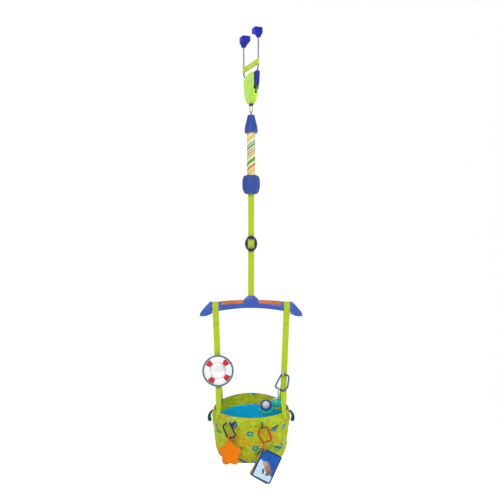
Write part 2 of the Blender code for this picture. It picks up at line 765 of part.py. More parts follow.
def build_pad(side, rod_y, name, pivot):
    """One shoe, its rubber face against the wall and the socket for its rod."""
    foot = PAD_RISE - PAD_FACE_HEIGHT - PAD_TAIL_HEIGHT
    waist = PAD_RISE - PAD_FACE_HEIGHT
    back = abs(rod_y) + ROD_RADIUS + PAD_BACK_WALL
    front = HALF_GAP + PAD_FACE_THICKNESS + GAP
    depth = back - front
    levels = (
        (foot, PAD_TAIL_WIDTH, PAD_TAIL_DEPTH),
        (foot + PAD_TAIL_HEIGHT * 0.4, PAD_WIDTH * 0.62, PAD_TAIL_DEPTH * 1.2),
        (waist - PAD_TAIL_HEIGHT * 0.1, PAD_WIDTH * 0.88, depth * 0.88),
        (waist, PAD_WIDTH, depth),
        (PAD_RISE - PAD_CORNER / 2.0, PAD_WIDTH, depth),
        (PAD_RISE, PAD_WIDTH - PAD_CORNER, depth - PAD_CORNER),
    )
    rings = []
    for z, width, reach in levels:
        shift = (PAD_CORNER / 2.0 if z == PAD_RISE else 0.0)
        middle = side * (back - shift - reach / 2.0)
        rings.append([(a, b, z) for a, b in rounded(width, reach, PAD_CORNER, centre=(0.0, middle))])
    shoe = add_piece(f"{name}_pad", loft(rings), "deep_blue_plastic", pivot)
    socket = [(0.0, rod_y, foot - OVERRUN), (0.0, rod_y, foot + PAD_SOCKET_DEPTH)]
    cut(shoe, pivot, rod_between(*socket, ROD_DIAMETER + 2.0 * GAP))
    outline = rounded(PAD_WIDTH, PAD_FACE_HEIGHT, PAD_CORNER, centre=(0.0, PAD_RISE - PAD_FACE_HEIGHT / 2.0))
    face = prism(outline, across_y, side * HALF_GAP, side * (HALF_GAP + PAD_FACE_THICKNESS))
    add_piece(f"{name}_pad_face", face, "blue_rubber", pivot)


def build_housing(pivot):
    """Two shells with the lever's slot, the pin's bosses and the block's seat."""
    arm = pivot_point()
    inner = housing_half_width(arm.z) - HOUSING_WALL
    pin_reach = inner + HOUSING_WALL / 2.0
    half_slot = GRIP_DIAMETER / 2.0 + CHAIN_GAP
    slot_low = (-half_slot, -HOUSING_DEPTH / 2.0 - OVERRUN, HOUSING_TOP - SLOT_SILL_DROP)
    slot_high = (half_slot, -HOUSING_DEPTH / 2.0 + SLOT_DEPTH, HOUSING_TOP + OVERRUN)
    notch_low = (-NOTCH_WIDTH / 2.0, slot_low[1], slot_low[2] - NOTCH_DROP)
    notch_high = (NOTCH_WIDTH / 2.0, slot_high[1], slot_low[2] + OVERRUN)
    boss_starts = {-1: EYE_WIDTH / 2.0 + GAP,
                   1: EYE_WIDTH / 2.0 + 2.0 * GAP + TORSION_TURNS * TORSION_PITCH + TORSION_WIRE}
    for side, name in ((-1, "housing_left"), (1, "housing_right")):
        bevel = HOUSING_CROWN * 0.3
        shell = housing_solid(side, ((0.0, GAP / 2.0, 0.0), (0.78, 0.0, 0.0), (1.0, -bevel, bevel),
                                     (1.0, 0.0, HOUSING_CROWN)))
        half = add_piece(name, shell, "lime_plastic", pivot)
        hollow = housing_solid(side, ((0.0, -OVERRUN, HOUSING_WALL), (1.0, -HOUSING_WALL, HOUSING_WALL)))
        cut(half, pivot, hollow)
        start = Vector((side * boss_starts[side], arm.y, arm.z))
        end = Vector((side * pin_reach, arm.y, arm.z))
        join(half, pivot, rod_between(start, end, BOSS_DIAMETER))
        pin_hole = rod_between((0.0, arm.y, arm.z), (side * (pin_reach + GAP), arm.y, arm.z),
                               PIVOT_PIN_DIAMETER + 2.0 * GAP)
        tools = (brick(slot_low, slot_high), brick(notch_low, notch_high), hanger_block_solid(GAP),
                 tube(rear_rod_path(), ROD_RADIUS + GAP), pin_hole)
        for number, bm in enumerate(tools):
            combine(half, add_tool(f"{name}_opening_{number}", bm, pivot), 'DIFFERENCE')
    pin = rod_between((-pin_reach, arm.y, arm.z), (pin_reach, arm.y, arm.z), PIVOT_PIN_DIAMETER)
    add_piece("arm_pivot_pin", pin, "rod_steel", pivot)


def build_clamp_spring(pivot):
    """Torsion spring on the pivot pin, one leg up along the arm and one down to the shell."""
    arm = pivot_point()
    radius = PIVOT_PIN_DIAMETER / 2.0 + TORSION_WIRE / 2.0 + 2.0 * GAP
    start_x = EYE_WIDTH / 2.0 + GAP + TORSION_WIRE / 2.0
    first = math.atan2(-0.6, -0.8)
    last = math.pi + math.tau * (TORSION_TURNS - 1)
    steps = TORSION_TURNS * TORSION_STEPS
    coil = []
    for step in range(steps + 1):
        share = step / steps
        angle = first + (last - first) * share
        coil.append(Vector((start_x + TORSION_PITCH * TORSION_TURNS * share,
                            arm.y + radius * math.cos(angle), arm.z + radius * math.sin(angle))))
    arm_leg = coil[0] + Vector((0.0, -0.6, 0.8)) * TORSION_LEG
    shell_leg = coil[-1] + Vector((0.0, 0.0, -1.0)) * TORSION_LEG
    path = [arm_leg] + coil + [shell_leg]
    report_gap("clamp_spring", coil, TORSION_STEPS, TORSION_WIRE)
    add_piece("clamp_spring", tube(path, TORSION_WIRE / 2.0, 6), "spring_steel", pivot)


def report_gap(name, points, points_per_turn, wire):
    """Print the least gap between one turn of a coil and another."""
    least = min((points[first] - points[second]).length
                for first in range(len(points))
                for second in range(first + points_per_turn // 2, len(points)))
    print(f"{name}: least gap to itself {1000.0 * (least - wire):.2f} mm")


def build_clamp():
    """The fixed arm, the lever arm, the housing between them and the safety strap."""
    body = Pivot("clamp")
    lever = Pivot("lever_axis", pivot_point())
    build_pad(-1, FRONT_ROD_Y, "front", lever)
    build_pad(1, REAR_ROD_Y, "rear", body)
    add_piece("rear_rod", tube(rear_rod_path(), ROD_RADIUS), "rod_steel", body)
    rod = add_piece("front_rod", tube(front_rod_path(), ROD_RADIUS), "rod_steel", lever)
    arm = pivot_point()
    half_eye = Vector((EYE_WIDTH / 2.0, 0.0, 0.0))
    past_eye = Vector((EYE_WIDTH / 2.0 + OVERRUN, 0.0, 0.0))
    hole = PIVOT_PIN_DIAMETER + 2.0 * GAP
    join(rod, lever, rod_between(arm - half_eye, arm + half_eye, hole + 2.0 * EYE_WALL))
    cut(rod, lever, rod_between(arm - past_eye, arm + past_eye, hole))
    top, down = grip_axis()
    grip = leaning_ring(top, down, GRIP_LENGTH, GRIP_DIAMETER / 2.0, GRIP_EDGE)
    add_piece("front_grip", grip, "deep_blue_plastic", lever)
    ferrule_top = top + down * (GRIP_LENGTH + GAP)
    ferrule = leaning_ring(ferrule_top, down, FERRULE_LENGTH, FERRULE_DIAMETER / 2.0, GRIP_EDGE / 2.0)
    add_piece("grip_ferrule", ferrule, "black_plastic", lever)
    build_housing(body)
    build_clamp_spring(body)
    build_safety_strap(body)
    build_hanger_block(body)


def build_safety_strap(body):
    """Webbing on edge, looped round both rods and sewn flat between them."""
    outer = ROD_RADIUS + GAP + WEBBING_THICKNESS
    half = WEBBING_THICKNESS
    reach = outer * 2.2
    flat = (lambda a, b: (a, b))
    front = arc((0.0, FRONT_ROD_Y), outer, math.radians(145.0), math.radians(395.0), 12, flat)
    rear = arc((0.0, REAR_ROD_Y), outer, math.radians(-35.0), math.radians(215.0), 12, flat)
    outline = front + [(half, FRONT_ROD_Y + reach), (half, REAR_ROD_Y - reach)]
    outline += rear + [(-half, REAR_ROD_Y - reach), (-half, FRONT_ROD_Y + reach)]
    strap = prism(outline, along_z, -SAFETY_TOP - WEBBING_WIDTH, -SAFETY_TOP)
    piece = add_piece("safety_strap", strap, "lime_webbing", body)
    low = -SAFETY_TOP - WEBBING_WIDTH - OVERRUN
    high = -SAFETY_TOP + OVERRUN
    cut(piece, body, *(rod_between((0.0, y, low), (0.0, y, high), ROD_DIAMETER + 2.0 * GAP)
                       for y in (FRONT_ROD_Y, REAR_ROD_Y)))


def build_hanger_block(body):
    """Black block under the housing, and the pin through its lugs that the link hangs on."""
    piece = add_piece("hanger_block", hanger_block_solid(0.0), "black_plastic", body, smooth=False)
    link_top = LINK_TOP_BEND + LINK_BEND_RADIUS + CHAIN_WIRE / 2.0 + CHAIN_GAP
    slot = brick((-BLOCK_NECK_WIDTH, -BLOCK_SLOT / 2.0, HOUSING_FOOT - BLOCK_REACH - OVERRUN),
                 (BLOCK_NECK_WIDTH, BLOCK_SLOT / 2.0, link_top))
    ends = BLOCK_NECK_DEPTH / 2.0
    hole = rod_between((0.0, -ends - OVERRUN, HANGER_PIN_Z), (0.0, ends + OVERRUN, HANGER_PIN_Z),
                       HANGER_PIN_DIAMETER + 2.0 * GAP)
    cut(piece, body, slot, hole)
    pin = rod_between((0.0, -ends, HANGER_PIN_Z), (0.0, ends, HANGER_PIN_Z), HANGER_PIN_DIAMETER)
    add_piece("hanger_pin", pin, "rod_steel", body)


def build_chain():
    """Steel link under the block and the swivel's eye through it."""
    link_pivot = Pivot("link_axis", (0.0, 0.0, HANGER_PIN_Z))
    foot_bend = LINK_FOOT + LINK_BEND_RADIUS
    flat = (lambda a, b: Vector((a, 0.0, b)))
    path = arc((0.0, LINK_TOP_BEND), LINK_BEND_RADIUS, 0.0, math.pi, 8, flat)
    path += arc((0.0, foot_bend), LINK_BEND_RADIUS, math.pi, math.tau, 8, flat)
    add_piece("hanger_link", tube(path, CHAIN_WIRE / 2.0, closed=True), "rod_steel", link_pivot)
    eye_pivot = Pivot("eye_axis", (0.0, 0.0, LINK_FOOT))
    ring = [Vector((0.0, EYE_BEND_RADIUS * math.cos(math.tau * step / 16),
                    EYE_CENTRE + EYE_BEND_RADIUS * math.sin(math.tau * step / 16))) for step in range(16)]
    eye = add_piece("swivel_eye", tube(ring, CHAIN_WIRE / 2.0, closed=True), "rod_steel", eye_pivot)
    stem_top = EYE_CENTRE - EYE_BEND_RADIUS
    stem_foot = stem_top - STEM_LENGTH
    head_top = stem_foot + STEM_HEAD_HEIGHT
    profile = ((STEM_HEAD_DIAMETER / 2.0, stem_foot), (STEM_HEAD_DIAMETER / 2.0, head_top),
               (STEM_DIAMETER / 2.0, head_top), (STEM_DIAMETER / 2.0, stem_top))
    join(eye, eye_pivot, turned(profile))
    return head_top


def cap_solid(shares, radius, top, height, depth_share=1.0):
    """A turned cap from its table of shares."""
    return turned([(radius * size, top - height * drop) for size, drop in shares], CAP_SIDES, depth_share)


def build_spring_unit(hanger, head_top):
    """Both caps, their plugs, the coil and the sleeve over it."""
    upper = Pivot("swivel_axis", (0.0, 0.0, -TOP_CAP_TOP), hanger)
    lower = Pivot("bounce_axis", (0.0, 0.0, BOTTOM_CAP_TOP), hanger)
    socket = SLEEVE_DIAMETER + 2.0 * GAP
    top_ceiling = TOP_CAP_FOOT + SLEEVE_TUCK + GAP
    solid = cap_solid(TOP_CAP_SHARES, TOP_CAP_DIAMETER / 2.0, -TOP_CAP_TOP, TOP_CAP_HEIGHT)
    cap = add_piece("spring_top_cap", solid, "cap_blue_plastic", upper)
    cut(cap, upper,
        rod_between((0, 0, TOP_CAP_FOOT - OVERRUN), (0, 0, top_ceiling), socket, CAP_SIDES),
        rod_between((0, 0, top_ceiling - OVERRUN), (0, 0, head_top + GAP), CAP_CHAMBER_DIAMETER, CAP_SIDES),
        rod_between((0, 0, head_top), (0, 0, -TOP_CAP_TOP + OVERRUN), STEM_DIAMETER + 2.0 * GAP))
    floor = BOTTOM_CAP_TOP - SLEEVE_TUCK - GAP
    solid = cap_solid(BOTTOM_CAP_SHARES, BOTTOM_CAP_WIDTH / 2.0, BOTTOM_CAP_TOP, BOTTOM_CAP_HEIGHT,
                      BOTTOM_CAP_DEPTH / BOTTOM_CAP_WIDTH)
    base = add_piece("spring_bottom_cap", solid, "cap_blue_plastic", lower)
    strap_half = WEBBING_WIDTH / 2.0 + GAP
    chamber_top = ANCHOR_PIN_Z + ANCHOR_PIN_DIAMETER / 2.0 + WEBBING_THICKNESS + 3.0 * GAP
    chamber = brick((-strap_half, -ANCHOR_CHAMBER_DEPTH / 2.0, BOTTOM_CAP_FOOT - OVERRUN),
                    (strap_half, ANCHOR_CHAMBER_DEPTH / 2.0, chamber_top))
    reach = strap_half + ANCHOR_PIN_DIAMETER
    pin_hole = rod_between((-reach - GAP, 0, ANCHOR_PIN_Z), (reach + GAP, 0, ANCHOR_PIN_Z),
                           ANCHOR_PIN_DIAMETER + 2.0 * GAP)
    cut(base, lower, rod_between((0, 0, BOTTOM_CAP_TOP + OVERRUN), (0, 0, floor), socket, CAP_SIDES), chamber,
        pin_hole)
    pin = rod_between((-reach, 0, ANCHOR_PIN_Z), (reach, 0, ANCHOR_PIN_Z), ANCHOR_PIN_DIAMETER)
    add_piece("strap_anchor_pin", pin, "rod_steel", lower)
    build_plug("spring_top_plug", TOP_CAP_FOOT + SLEEVE_TUCK, -1.0, upper)
    build_plug("spring_bottom_plug", BOTTOM_CAP_TOP - SLEEVE_TUCK, 1.0, lower)
    build_coil(upper)
    sleeve = turned_ring(((SLEEVE_DIAMETER / 2.0 - SLEEVE_WALL, BOTTOM_CAP_TOP - SLEEVE_TUCK),
                          (SLEEVE_DIAMETER / 2.0, BOTTOM_CAP_TOP - SLEEVE_TUCK),
                          (SLEEVE_DIAMETER / 2.0, TOP_CAP_FOOT + SLEEVE_TUCK),
                          (SLEEVE_DIAMETER / 2.0 - SLEEVE_WALL, TOP_CAP_FOOT + SLEEVE_TUCK)), CAP_SIDES)
    add_piece("spring_sleeve", sleeve, "striped_fabric", upper)
    return lower


def build_plug(name, outer_face, towards, pivot):
    """Plug that holds the sleeve's end outside and the coil's end on its post."""
    plate = SLEEVE_DIAMETER / 2.0 - SLEEVE_WALL - GAP
    chord = (SPRING_DIAMETER - SPRING_WIRE) / 2.0 * math.cos(math.pi / SPRING_SEGMENTS)
    post = chord - SPRING_WIRE / 2.0 - 2.0 * GAP
    profile = ((plate, outer_face), (plate, outer_face + towards * PLUG_PLATE),
               (post, outer_face + towards * PLUG_PLATE),
               (post - SPRING_WIRE / 2.0, outer_face + towards * (PLUG_PLATE + PLUG_POST_LENGTH)))
    add_piece(name, turned(profile, CAP_SIDES), "grey_plastic", pivot)


def build_coil(pivot):
    """The extension spring between the two plugs, as one unbroken tube."""
    radius = (SPRING_DIAMETER - SPRING_WIRE) / 2.0
    inset = SLEEVE_TUCK - PLUG_PLATE - CHAIN_GAP - SPRING_WIRE / 2.0
    top = TOP_CAP_FOOT + inset
    foot = BOTTOM_CAP_TOP - inset
    steps = SPRING_TURNS * SPRING_SEGMENTS
    path = [Vector((radius * math.cos(math.tau * step / SPRING_SEGMENTS),
                    radius * math.sin(math.tau * step / SPRING_SEGMENTS),
                    top + (foot - top) * step / steps)) for step in range(steps + 1)]
    report_gap("bounce_spring", path, SPRING_SEGMENTS, SPRING_WIRE)
    add_piece("bounce_spring", tube(path, SPRING_WIRE / 2.0, SPRING_SIDES), "spring_steel", pivot)


def strand_offsets():
    """Where the main strap and its sewn tail lie, front to back, at the buckle."""
    half_bar = BUCKLE_BAR_THICKNESS / 2.0
    tail = half_bar + GAP + WEBBING_THICKNESS / 2.0
    strand = tail + WEBBING_THICKNESS + GAP
    behind = BUCKLE_THICKNESS / 2.0 + GAP + WEBBING_THICKNESS / 2.0
    return tail, strand, behind


def bight_top():
    """Height where the strap's sliding stretches meet the bight round the bar's pin."""
    return BAR_PIN_Z + BAR_PIN_DIAMETER * 2.0


def build_main_strap(lower, hanger):
    """The strand down through the buckle, its lower run, the sewn tail and the bight."""
    foot = Pivot("height_axis", (0.0, 0.0, BAR_TOP), hanger)
    slider = Pivot("buckle_axis", (0.0, 0.0, BUCKLE_Z), hanger)
    layer = WEBBING_THICKNESS
    tail, strand, behind = strand_offsets()
    pin_reach = ANCHOR_PIN_DIAMETER / 2.0 + GAP + layer / 2.0
    bar_reach = BAR_PIN_DIAMETER / 2.0 + GAP + layer / 2.0
    ring = BUCKLE_HEIGHT / 2.0
    window = BUCKLE_BAR_HEIGHT / 2.0 + BUCKLE_WINDOW_HEIGHT - BUCKLE_ENTRY
    flat = (lambda a, b: Vector((0.0, a, b)))
    path = [flat(pin_reach, ANCHOR_PIN_Z - ANCHOR_CHAMBER_DEPTH)]
    path += arc((0.0, ANCHOR_PIN_Z), pin_reach, 0.0, math.pi, 8, flat)
    path += [flat(-pin_reach * 0.7, ANCHOR_PIN_Z - ANCHOR_CHAMBER_DEPTH), flat(0.0, BOTTOM_CAP_FOOT),
             flat(0.0, BUCKLE_Z + ring * 2.0)]
    turn = BUCKLE_BAR_HEIGHT / 2.0
    path += [flat(behind, BUCKLE_Z + ring * 1.15), flat(behind, BUCKLE_Z + window),
             flat(-strand, BUCKLE_Z + turn + tail * 1.3), flat(-strand, BUCKLE_Z - turn),
             flat(behind, BUCKLE_Z - window), flat(behind, BUCKLE_Z - ring * 1.15)]
    spacing = STRAND_SPACING / 2.0
    low = flat(-spacing, BUCKLE_Z - ring * 2.0)
    split = path[-1].lerp(low, STRAND_SPLIT_SHARE)
    add_piece("main_strap", band(path + [split], WEBBING_WIDTH, layer), "lime_webbing", lower, smooth=False)
    path = [split - UP * GAP, low, flat(-spacing, BAR_TOP + STRAND_BEND), flat(-bar_reach, bight_top() + GAP)]
    add_piece("main_strap_lower", band(path, WEBBING_WIDTH, layer), "lime_webbing", slider, smooth=False)
    after = behind + layer + GAP * 2.0
    sewn = BUCKLE_BAR_HEIGHT / 2.0
    path = [flat(-tail, BUCKLE_Z - sewn * 0.6)]
    path += arc((0.0, BUCKLE_Z + sewn), tail, math.pi, 0.0, 8, flat)
    path += [flat(tail, BUCKLE_Z - sewn), flat(after, BUCKLE_Z - window), flat(after, BUCKLE_Z - ring * 1.15)]
    path += [flat(spacing, BUCKLE_Z - ring * 2.0), flat(spacing, BAR_TOP + STRAND_BEND),
             flat(bar_reach, bight_top() + GAP)]
    add_piece("main_strap_tail", band(path, WEBBING_WIDTH, layer), "lime_webbing", slider, smooth=False)
    path = [flat(bar_reach, bight_top())]
    path += arc((0.0, BAR_PIN_Z), bar_reach, 0.0, -math.pi, 10, flat)
    path += [flat(-bar_reach, bight_top())]
    add_piece("main_strap_bight", band(path, WEBBING_WIDTH, layer), "lime_webbing", foot, smooth=False)
    build_buckle(slider)


def build_buckle(slider):
    """Oval slide buckle: a ring with two windows and a thin bar between them."""
    rings = []
    edge = BUCKLE_THICKNESS * 0.22
    half = BUCKLE_THICKNESS / 2.0
    for depth, inset in ((-half, edge), (-half + edge, 0.0), (half - edge, 0.0), (half, edge)):
        rings.append([((BUCKLE_WIDTH / 2.0 - inset) * math.cos(math.tau * step / BUCKLE_SIDES), depth,
                       BUCKLE_Z + (BUCKLE_HEIGHT / 2.0 - inset) * math.sin(math.tau * step / BUCKLE_SIDES))
                      for step in range(BUCKLE_SIDES)])
    piece = add_piece("slide_buckle", loft(rings), "navy_plastic", slider)
    width = WEBBING_WIDTH + 4.0 * GAP
    bar_half = BUCKLE_BAR_HEIGHT / 2.0
    reach = BUCKLE_THICKNESS
    tools = []
    for side in (-1, 1):
        centre = BUCKLE_Z + side * (bar_half + BUCKLE_WINDOW_HEIGHT / 2.0)
        tools.append(prism(rounded(width, BUCKLE_WINDOW_HEIGHT, BUCKLE_WINDOW_CORNER, centre=(0.0, centre)),
                           across_y, -reach, reach))
        faces = sorted((side * BUCKLE_BAR_THICKNESS / 2.0, side * reach))
        tall = bar_half + BUCKLE_WINDOW_CORNER
        half_width = width / 2.0
        tools.append(brick((-half_width, faces[0], BUCKLE_Z - tall), (half_width, faces[1], BUCKLE_Z + tall)))
    cut(piece, slider, *tools)


def bar_rows():
    """The bar's profile from tip to tip as (x, top, bottom, half depth)."""
    half = []
    for reach, top, bottom, depth in BAR_PROFILE_SHARES:
        half.append((reach * BAR_LENGTH / 2.0, BAR_TOP - top * BAR_HEIGHT, BAR_TOP - bottom * BAR_HEIGHT,
                     depth * BAR_HALF_DEPTH))
    return [(-x, top, bottom, depth) for x, top, bottom, depth in reversed(half[1:])] + half


def bar_solid():
    """The whole bar as one rounded moulding."""
    rings = []
    for x, top, bottom, depth in bar_rows():
        middle = (top + bottom) / 2.0
        ring = []
        for step in range(BAR_SIDES):
            angle = math.tau * (step + 0.5) / BAR_SIDES
            across = math.copysign(abs(math.cos(angle)) ** BAR_ROUND_SHARE, math.cos(angle))
            up = math.copysign(abs(math.sin(angle)) ** BAR_ROUND_SHARE, math.sin(angle))
            ring.append((x, depth * across, middle + (top - bottom) / 2.0 * up))
        rings.append(ring)
    return loft(rings)


def insert_region(side, clearance):
    """The stretch along the bar's top that a soft insert fills."""
    inner = INSERT_INNER - clearance
    outer = INSERT_OUTER + clearance
    rows = [row for row in bar_rows() if 0.0 <= row[0]]

    def top_at(x):
        for low, high in zip(rows, rows[1:]):
            if low[0] <= x <= high[0]:
                return low[1] + (high[1] - low[1]) * (x - low[0]) / (high[0] - low[0])
        return rows[-1][1]

    length = INSERT_OUTER - INSERT_INNER
    places = [INSERT_INNER + length * step / INSERT_STEPS for step in range(INSERT_STEPS + 1)]
    reaches = [inner] + places[1:-1] + [outer]
    lower = [(side * x, top_at(place) - INSERT_HEIGHT - clearance) for x, place in zip(reaches, places)]
    upper = [(side * x, BAR_TOP + OVERRUN) for x in reversed(reaches)]
    return prism(lower + upper, across_y, -2.0 * BAR_HALF_DEPTH, 2.0 * BAR_HALF_DEPTH)


def groove(side, clearance):
    """Ring round the bar that leaves the round saddle for a side strap."""
    low = SADDLE_REACH - SADDLE_WIDTH / 2.0
    high = SADDLE_REACH + SADDLE_WIDTH / 2.0
    rings = []
    for step in range(ROUND_SIDES):
        angle = math.tau * step / ROUND_SIDES
        across = math.cos(angle)
        up = math.sin(angle)
        rings.append([(side * x, radius * across, SADDLE_Z + radius * up)
                      for x, radius in ((low, SADDLE_RADIUS + clearance), (high, SADDLE_RADIUS + clearance),
                                        (high, SADDLE_RADIUS * 3.0), (low, SADDLE_RADIUS * 3.0))])
    return loft(rings, closed=True)


def build_bar(carrier):
    """Two halves of the bar, the pin between them and the soft inserts."""
    pivot = Pivot("bar_axis", (0.0, 0.0, BAR_PIN_Z), carrier)
    far = 3.0 * BAR_HALF_DEPTH
    low_z = BAR_TOP - BAR_HEIGHT - OVERRUN
    half_pin = BAR_PIN_LENGTH / 2.0
    chamber_half = WEBBING_WIDTH / 2.0 + 3.0 * GAP
    chamber = brick((-chamber_half, -HUB_CHAMBER_HALF_DEPTH, BAR_PIN_Z - HUB_CHAMBER_FLOOR),
                    (chamber_half, HUB_CHAMBER_HALF_DEPTH, BAR_TOP + OVERRUN))
    for side, name in ((-1, "bar_front_half"), (1, "bar_back_half")):
        piece = add_piece(name, bar_solid(), "bar_blue_plastic", pivot)
        other = sorted((side * GAP / 2.0, -side * far))
        tools = [brick((-BAR_LENGTH, other[0], low_z), (BAR_LENGTH, other[1], BAR_TOP + OVERRUN)),
                 chamber.copy(),
                 rod_between((-half_pin - GAP, 0.0, BAR_PIN_Z), (half_pin + GAP, 0.0, BAR_PIN_Z),
                             BAR_PIN_DIAMETER + 2.0 * GAP)]
        for end in (-1, 1):
            tools.append(insert_region(end, GAP))
            tools.append(groove(end, 0.0))
        cut(piece, pivot, *tools)
    chamber.free()
    pin = rod_between((-half_pin, 0.0, BAR_PIN_Z), (half_pin, 0.0, BAR_PIN_Z), BAR_PIN_DIAMETER)
    add_piece("bar_pin", pin, "rod_steel", pivot)
    for side, name in ((-1, "orange_grip_left"), (1, "orange_grip_right")):
        insert = add_piece(name, bar_solid(), "orange_rubber", pivot)
        combine(insert, add_tool(f"{name}_region", insert_region(side, 0.0), pivot), 'INTERSECT')


def rim_drop(angle):
    """The rim rises at the back and sags at the front; angle 0 points along +X."""
    lean = math.sin(angle)
    end = RIM_BACK_DROP if lean > 0.0 else RIM_FRONT_DROP
    return RIM_SIDE_DROP + (end - RIM_SIDE_DROP) * abs(lean) ** RIM_BEND_SHARE


def profile_size(share):
    """Size of the seat at a share of the way down, from the table."""
    table = SEAT_PROFILE_SHARES
    for low, high in zip(table, table[1:]):
        if share <= high[0]:
            return low[1] + (high[1] - low[1]) * (share - low[0]) / (high[0] - low[0])
    return table[-1][1]


def seat_point(angle, share, inset=0.0, lift=0.0):
    """A point on the seat, drawn in by inset and lifted at the foot by lift."""
    size = profile_size(share)
    pucker = PUCKER_DEPTH * math.cos(PUCKER_COUNT * angle) * share * share
    reach_x = SEAT_HALF_WIDTH * size + pucker - inset
    reach_y = SEAT_HALF_DEPTH * size + pucker - inset
    rim = rim_drop(angle)
    drop = rim + (SEAT_FOOT_DROP - lift - rim) * share
    return Vector((reach_x * math.cos(angle), reach_y * math.sin(angle), -drop))


def seat_skin(outer_inset, inner_inset, outer_lift, inner_lift, start_drop):
    """Cup-shaped skin between two insets; start_drop lowers its rim."""
    shares = [share for share, size in SEAT_PROFILE_SHARES]
    angles = [math.tau * step / SEAT_STEPS for step in range(SEAT_STEPS)]

    def row(share, inset, lift):
        ring = []
        for angle in angles:
            first = start_drop / (SEAT_FOOT_DROP - rim_drop(angle))
            ring.append(seat_point(angle, first + (1.0 - first) * share, inset, lift))
        return ring

    inner = [row(share, inner_inset, inner_lift) for share in reversed(shares)]
    outer = [row(share, outer_inset, outer_lift) for share in shares]
    return loft(inner + outer)


def leg_hole(side, grow):
    """Upright oval cutter for a leg opening in the seat's foot."""
    outline = []
    for step in range(ROUND_SIDES):
        angle = math.tau * step / ROUND_SIDES
        outline.append((side * LEG_HOLE_SPACING / 2.0 + (LEG_HOLE_WIDTH / 2.0 + grow) * math.cos(angle),
                        LEG_HOLE_SETBACK + (LEG_HOLE_DEPTH / 2.0 + grow) * math.sin(angle)))
    return prism(outline, along_z, -SEAT_FOOT_DROP - OVERRUN, -SEAT_FOOT_DROP + LEG_HOLE_REACH)


def build_seat(pivot):
    """Printed outer bucket and the blue lining, both open at the legs."""
    shell = add_piece("seat_shell", seat_skin(0.0, SHELL_THICKNESS, 0.0, SHELL_THICKNESS, 0.0),
                      "print_fabric", pivot)
    outer = SHELL_THICKNESS + GAP * 2.0
    inner = outer + LINING_THICKNESS
    skin = seat_skin(outer, inner, outer, inner, LINING_DROP)
    lining = add_piece("seat_lining", skin, "blue_lining", pivot)
    for side in (-1, 1):
        combine(shell, add_tool(f"shell_leg_hole_{side + 1}", leg_hole(side, 0.0), pivot), 'DIFFERENCE')
        combine(lining, add_tool(f"lining_leg_hole_{side + 1}", leg_hole(side, 0.0), pivot), 'DIFFERENCE')


def surface_frame(angle, share):
    """Point on the seat's outside, the level direction along it, and the way out."""
    point = seat_point(angle, share)
    along = (seat_point(angle + 0.01, share) - seat_point(angle - 0.01, share))
    along.z = 0.0
    along.normalize()
    return point, along, Vector((along.y, -along.x, 0.0))


def strap_x(z):
    """The side straps lean in from the bar to the seat."""
    share = (SADDLE_Z - z) / (SADDLE_Z + RIM_SIDE_DROP)
    return SADDLE_REACH + (STRAP_FOOT_REACH - SADDLE_REACH) * share


def ribbon(path, widths, width, thickness):
    """Webbing along a path whose width direction changes from point to point."""
    rings = []
    for index, point in enumerate(path):
        ahead = path[min(index + 1, len(path) - 1)]
        behind = path[max(index - 1, 0)]
        across = widths[index].normalized()
        normal = across.cross(ahead - behind).normalized() * thickness / 2.0
        half = across * width / 2.0
        rings.append([point - half - normal, point + half - normal, point + half + normal,
                      point - half + normal])
    return loft(rings)


def strap_leg(side, angle, away):
    """One leg from the split down to the seat's outside; away is -1 in front and 1 behind."""
    layer = WEBBING_THICKNESS
    level = Vector((1.0, 0.0, 0.0))
    split = Vector((side * strap_x(-STRAP_SPLIT_DROP), away * (layer + GAP) / 2.0, -STRAP_SPLIT_DROP))
    points = []
    widths = []
    for share, lift in ((0.0, RIM_LIFT), (0.02, 0.0), (0.07, 0.0), (0.13, 0.0)):
        point, along, out = surface_frame(angle, share)
        if along.dot(level) < 0.0:
            along = -along
            out = -out
        outward = Vector((point.x, point.y, 0.0))
        if out.dot(outward) < 0.0:
            out = -out
        points.append(point + out * (layer / 2.0 + GAP * STRAP_FOOT_GAPS) + UP * lift)
        widths.append(along)
    steps = LEG_STEPS
    path = [split.lerp(points[0], step / steps) for step in range(steps)]
    across = [level.lerp(widths[0], step / steps) for step in range(steps)]
    return path + points, across + widths


def build_side_strap(side, name, pivot):
    """One webbing: up from the seat's front, over the bar's saddle and down to its back."""
    layer = WEBBING_THICKNESS
    level = Vector((1.0, 0.0, 0.0))
    front_angle = math.radians(-STRAP_FRONT_ANGLE if side > 0 else STRAP_FRONT_ANGLE - 180.0)
    rear_angle = math.radians(STRAP_REAR_ANGLE if side > 0 else 180.0 - STRAP_REAR_ANGLE)
    front_path, front_across = strap_leg(side, front_angle, -1.0)
    rear_path, rear_across = strap_leg(side, rear_angle, 1.0)
    half = (layer + GAP) / 2.0
    sew_z = -STRAP_SEW_DROP
    reach = SADDLE_RADIUS + GAP + layer / 2.0
    centre = Vector((side * SADDLE_REACH, 0.0, SADDLE_Z))
    top = [Vector((side * strap_x(sew_z), -half, sew_z))]
    spread = math.radians(SADDLE_SPREAD)
    top += [centre + Vector((0.0, -reach * math.cos(angle), reach * math.sin(angle)))
            for angle in (-spread + (math.pi + 2.0 * spread) * step / SADDLE_STRAP_STEPS
                          for step in range(SADDLE_STRAP_STEPS + 1))]
    top += [Vector((side * strap_x(sew_z), half, sew_z))]
    path = list(reversed(front_path)) + top + rear_path
    widths = list(reversed(front_across)) + [level] * len(top) + rear_across
    add_piece(name, ribbon(path, widths, WEBBING_WIDTH, layer), "lime_webbing", pivot, smooth=False)


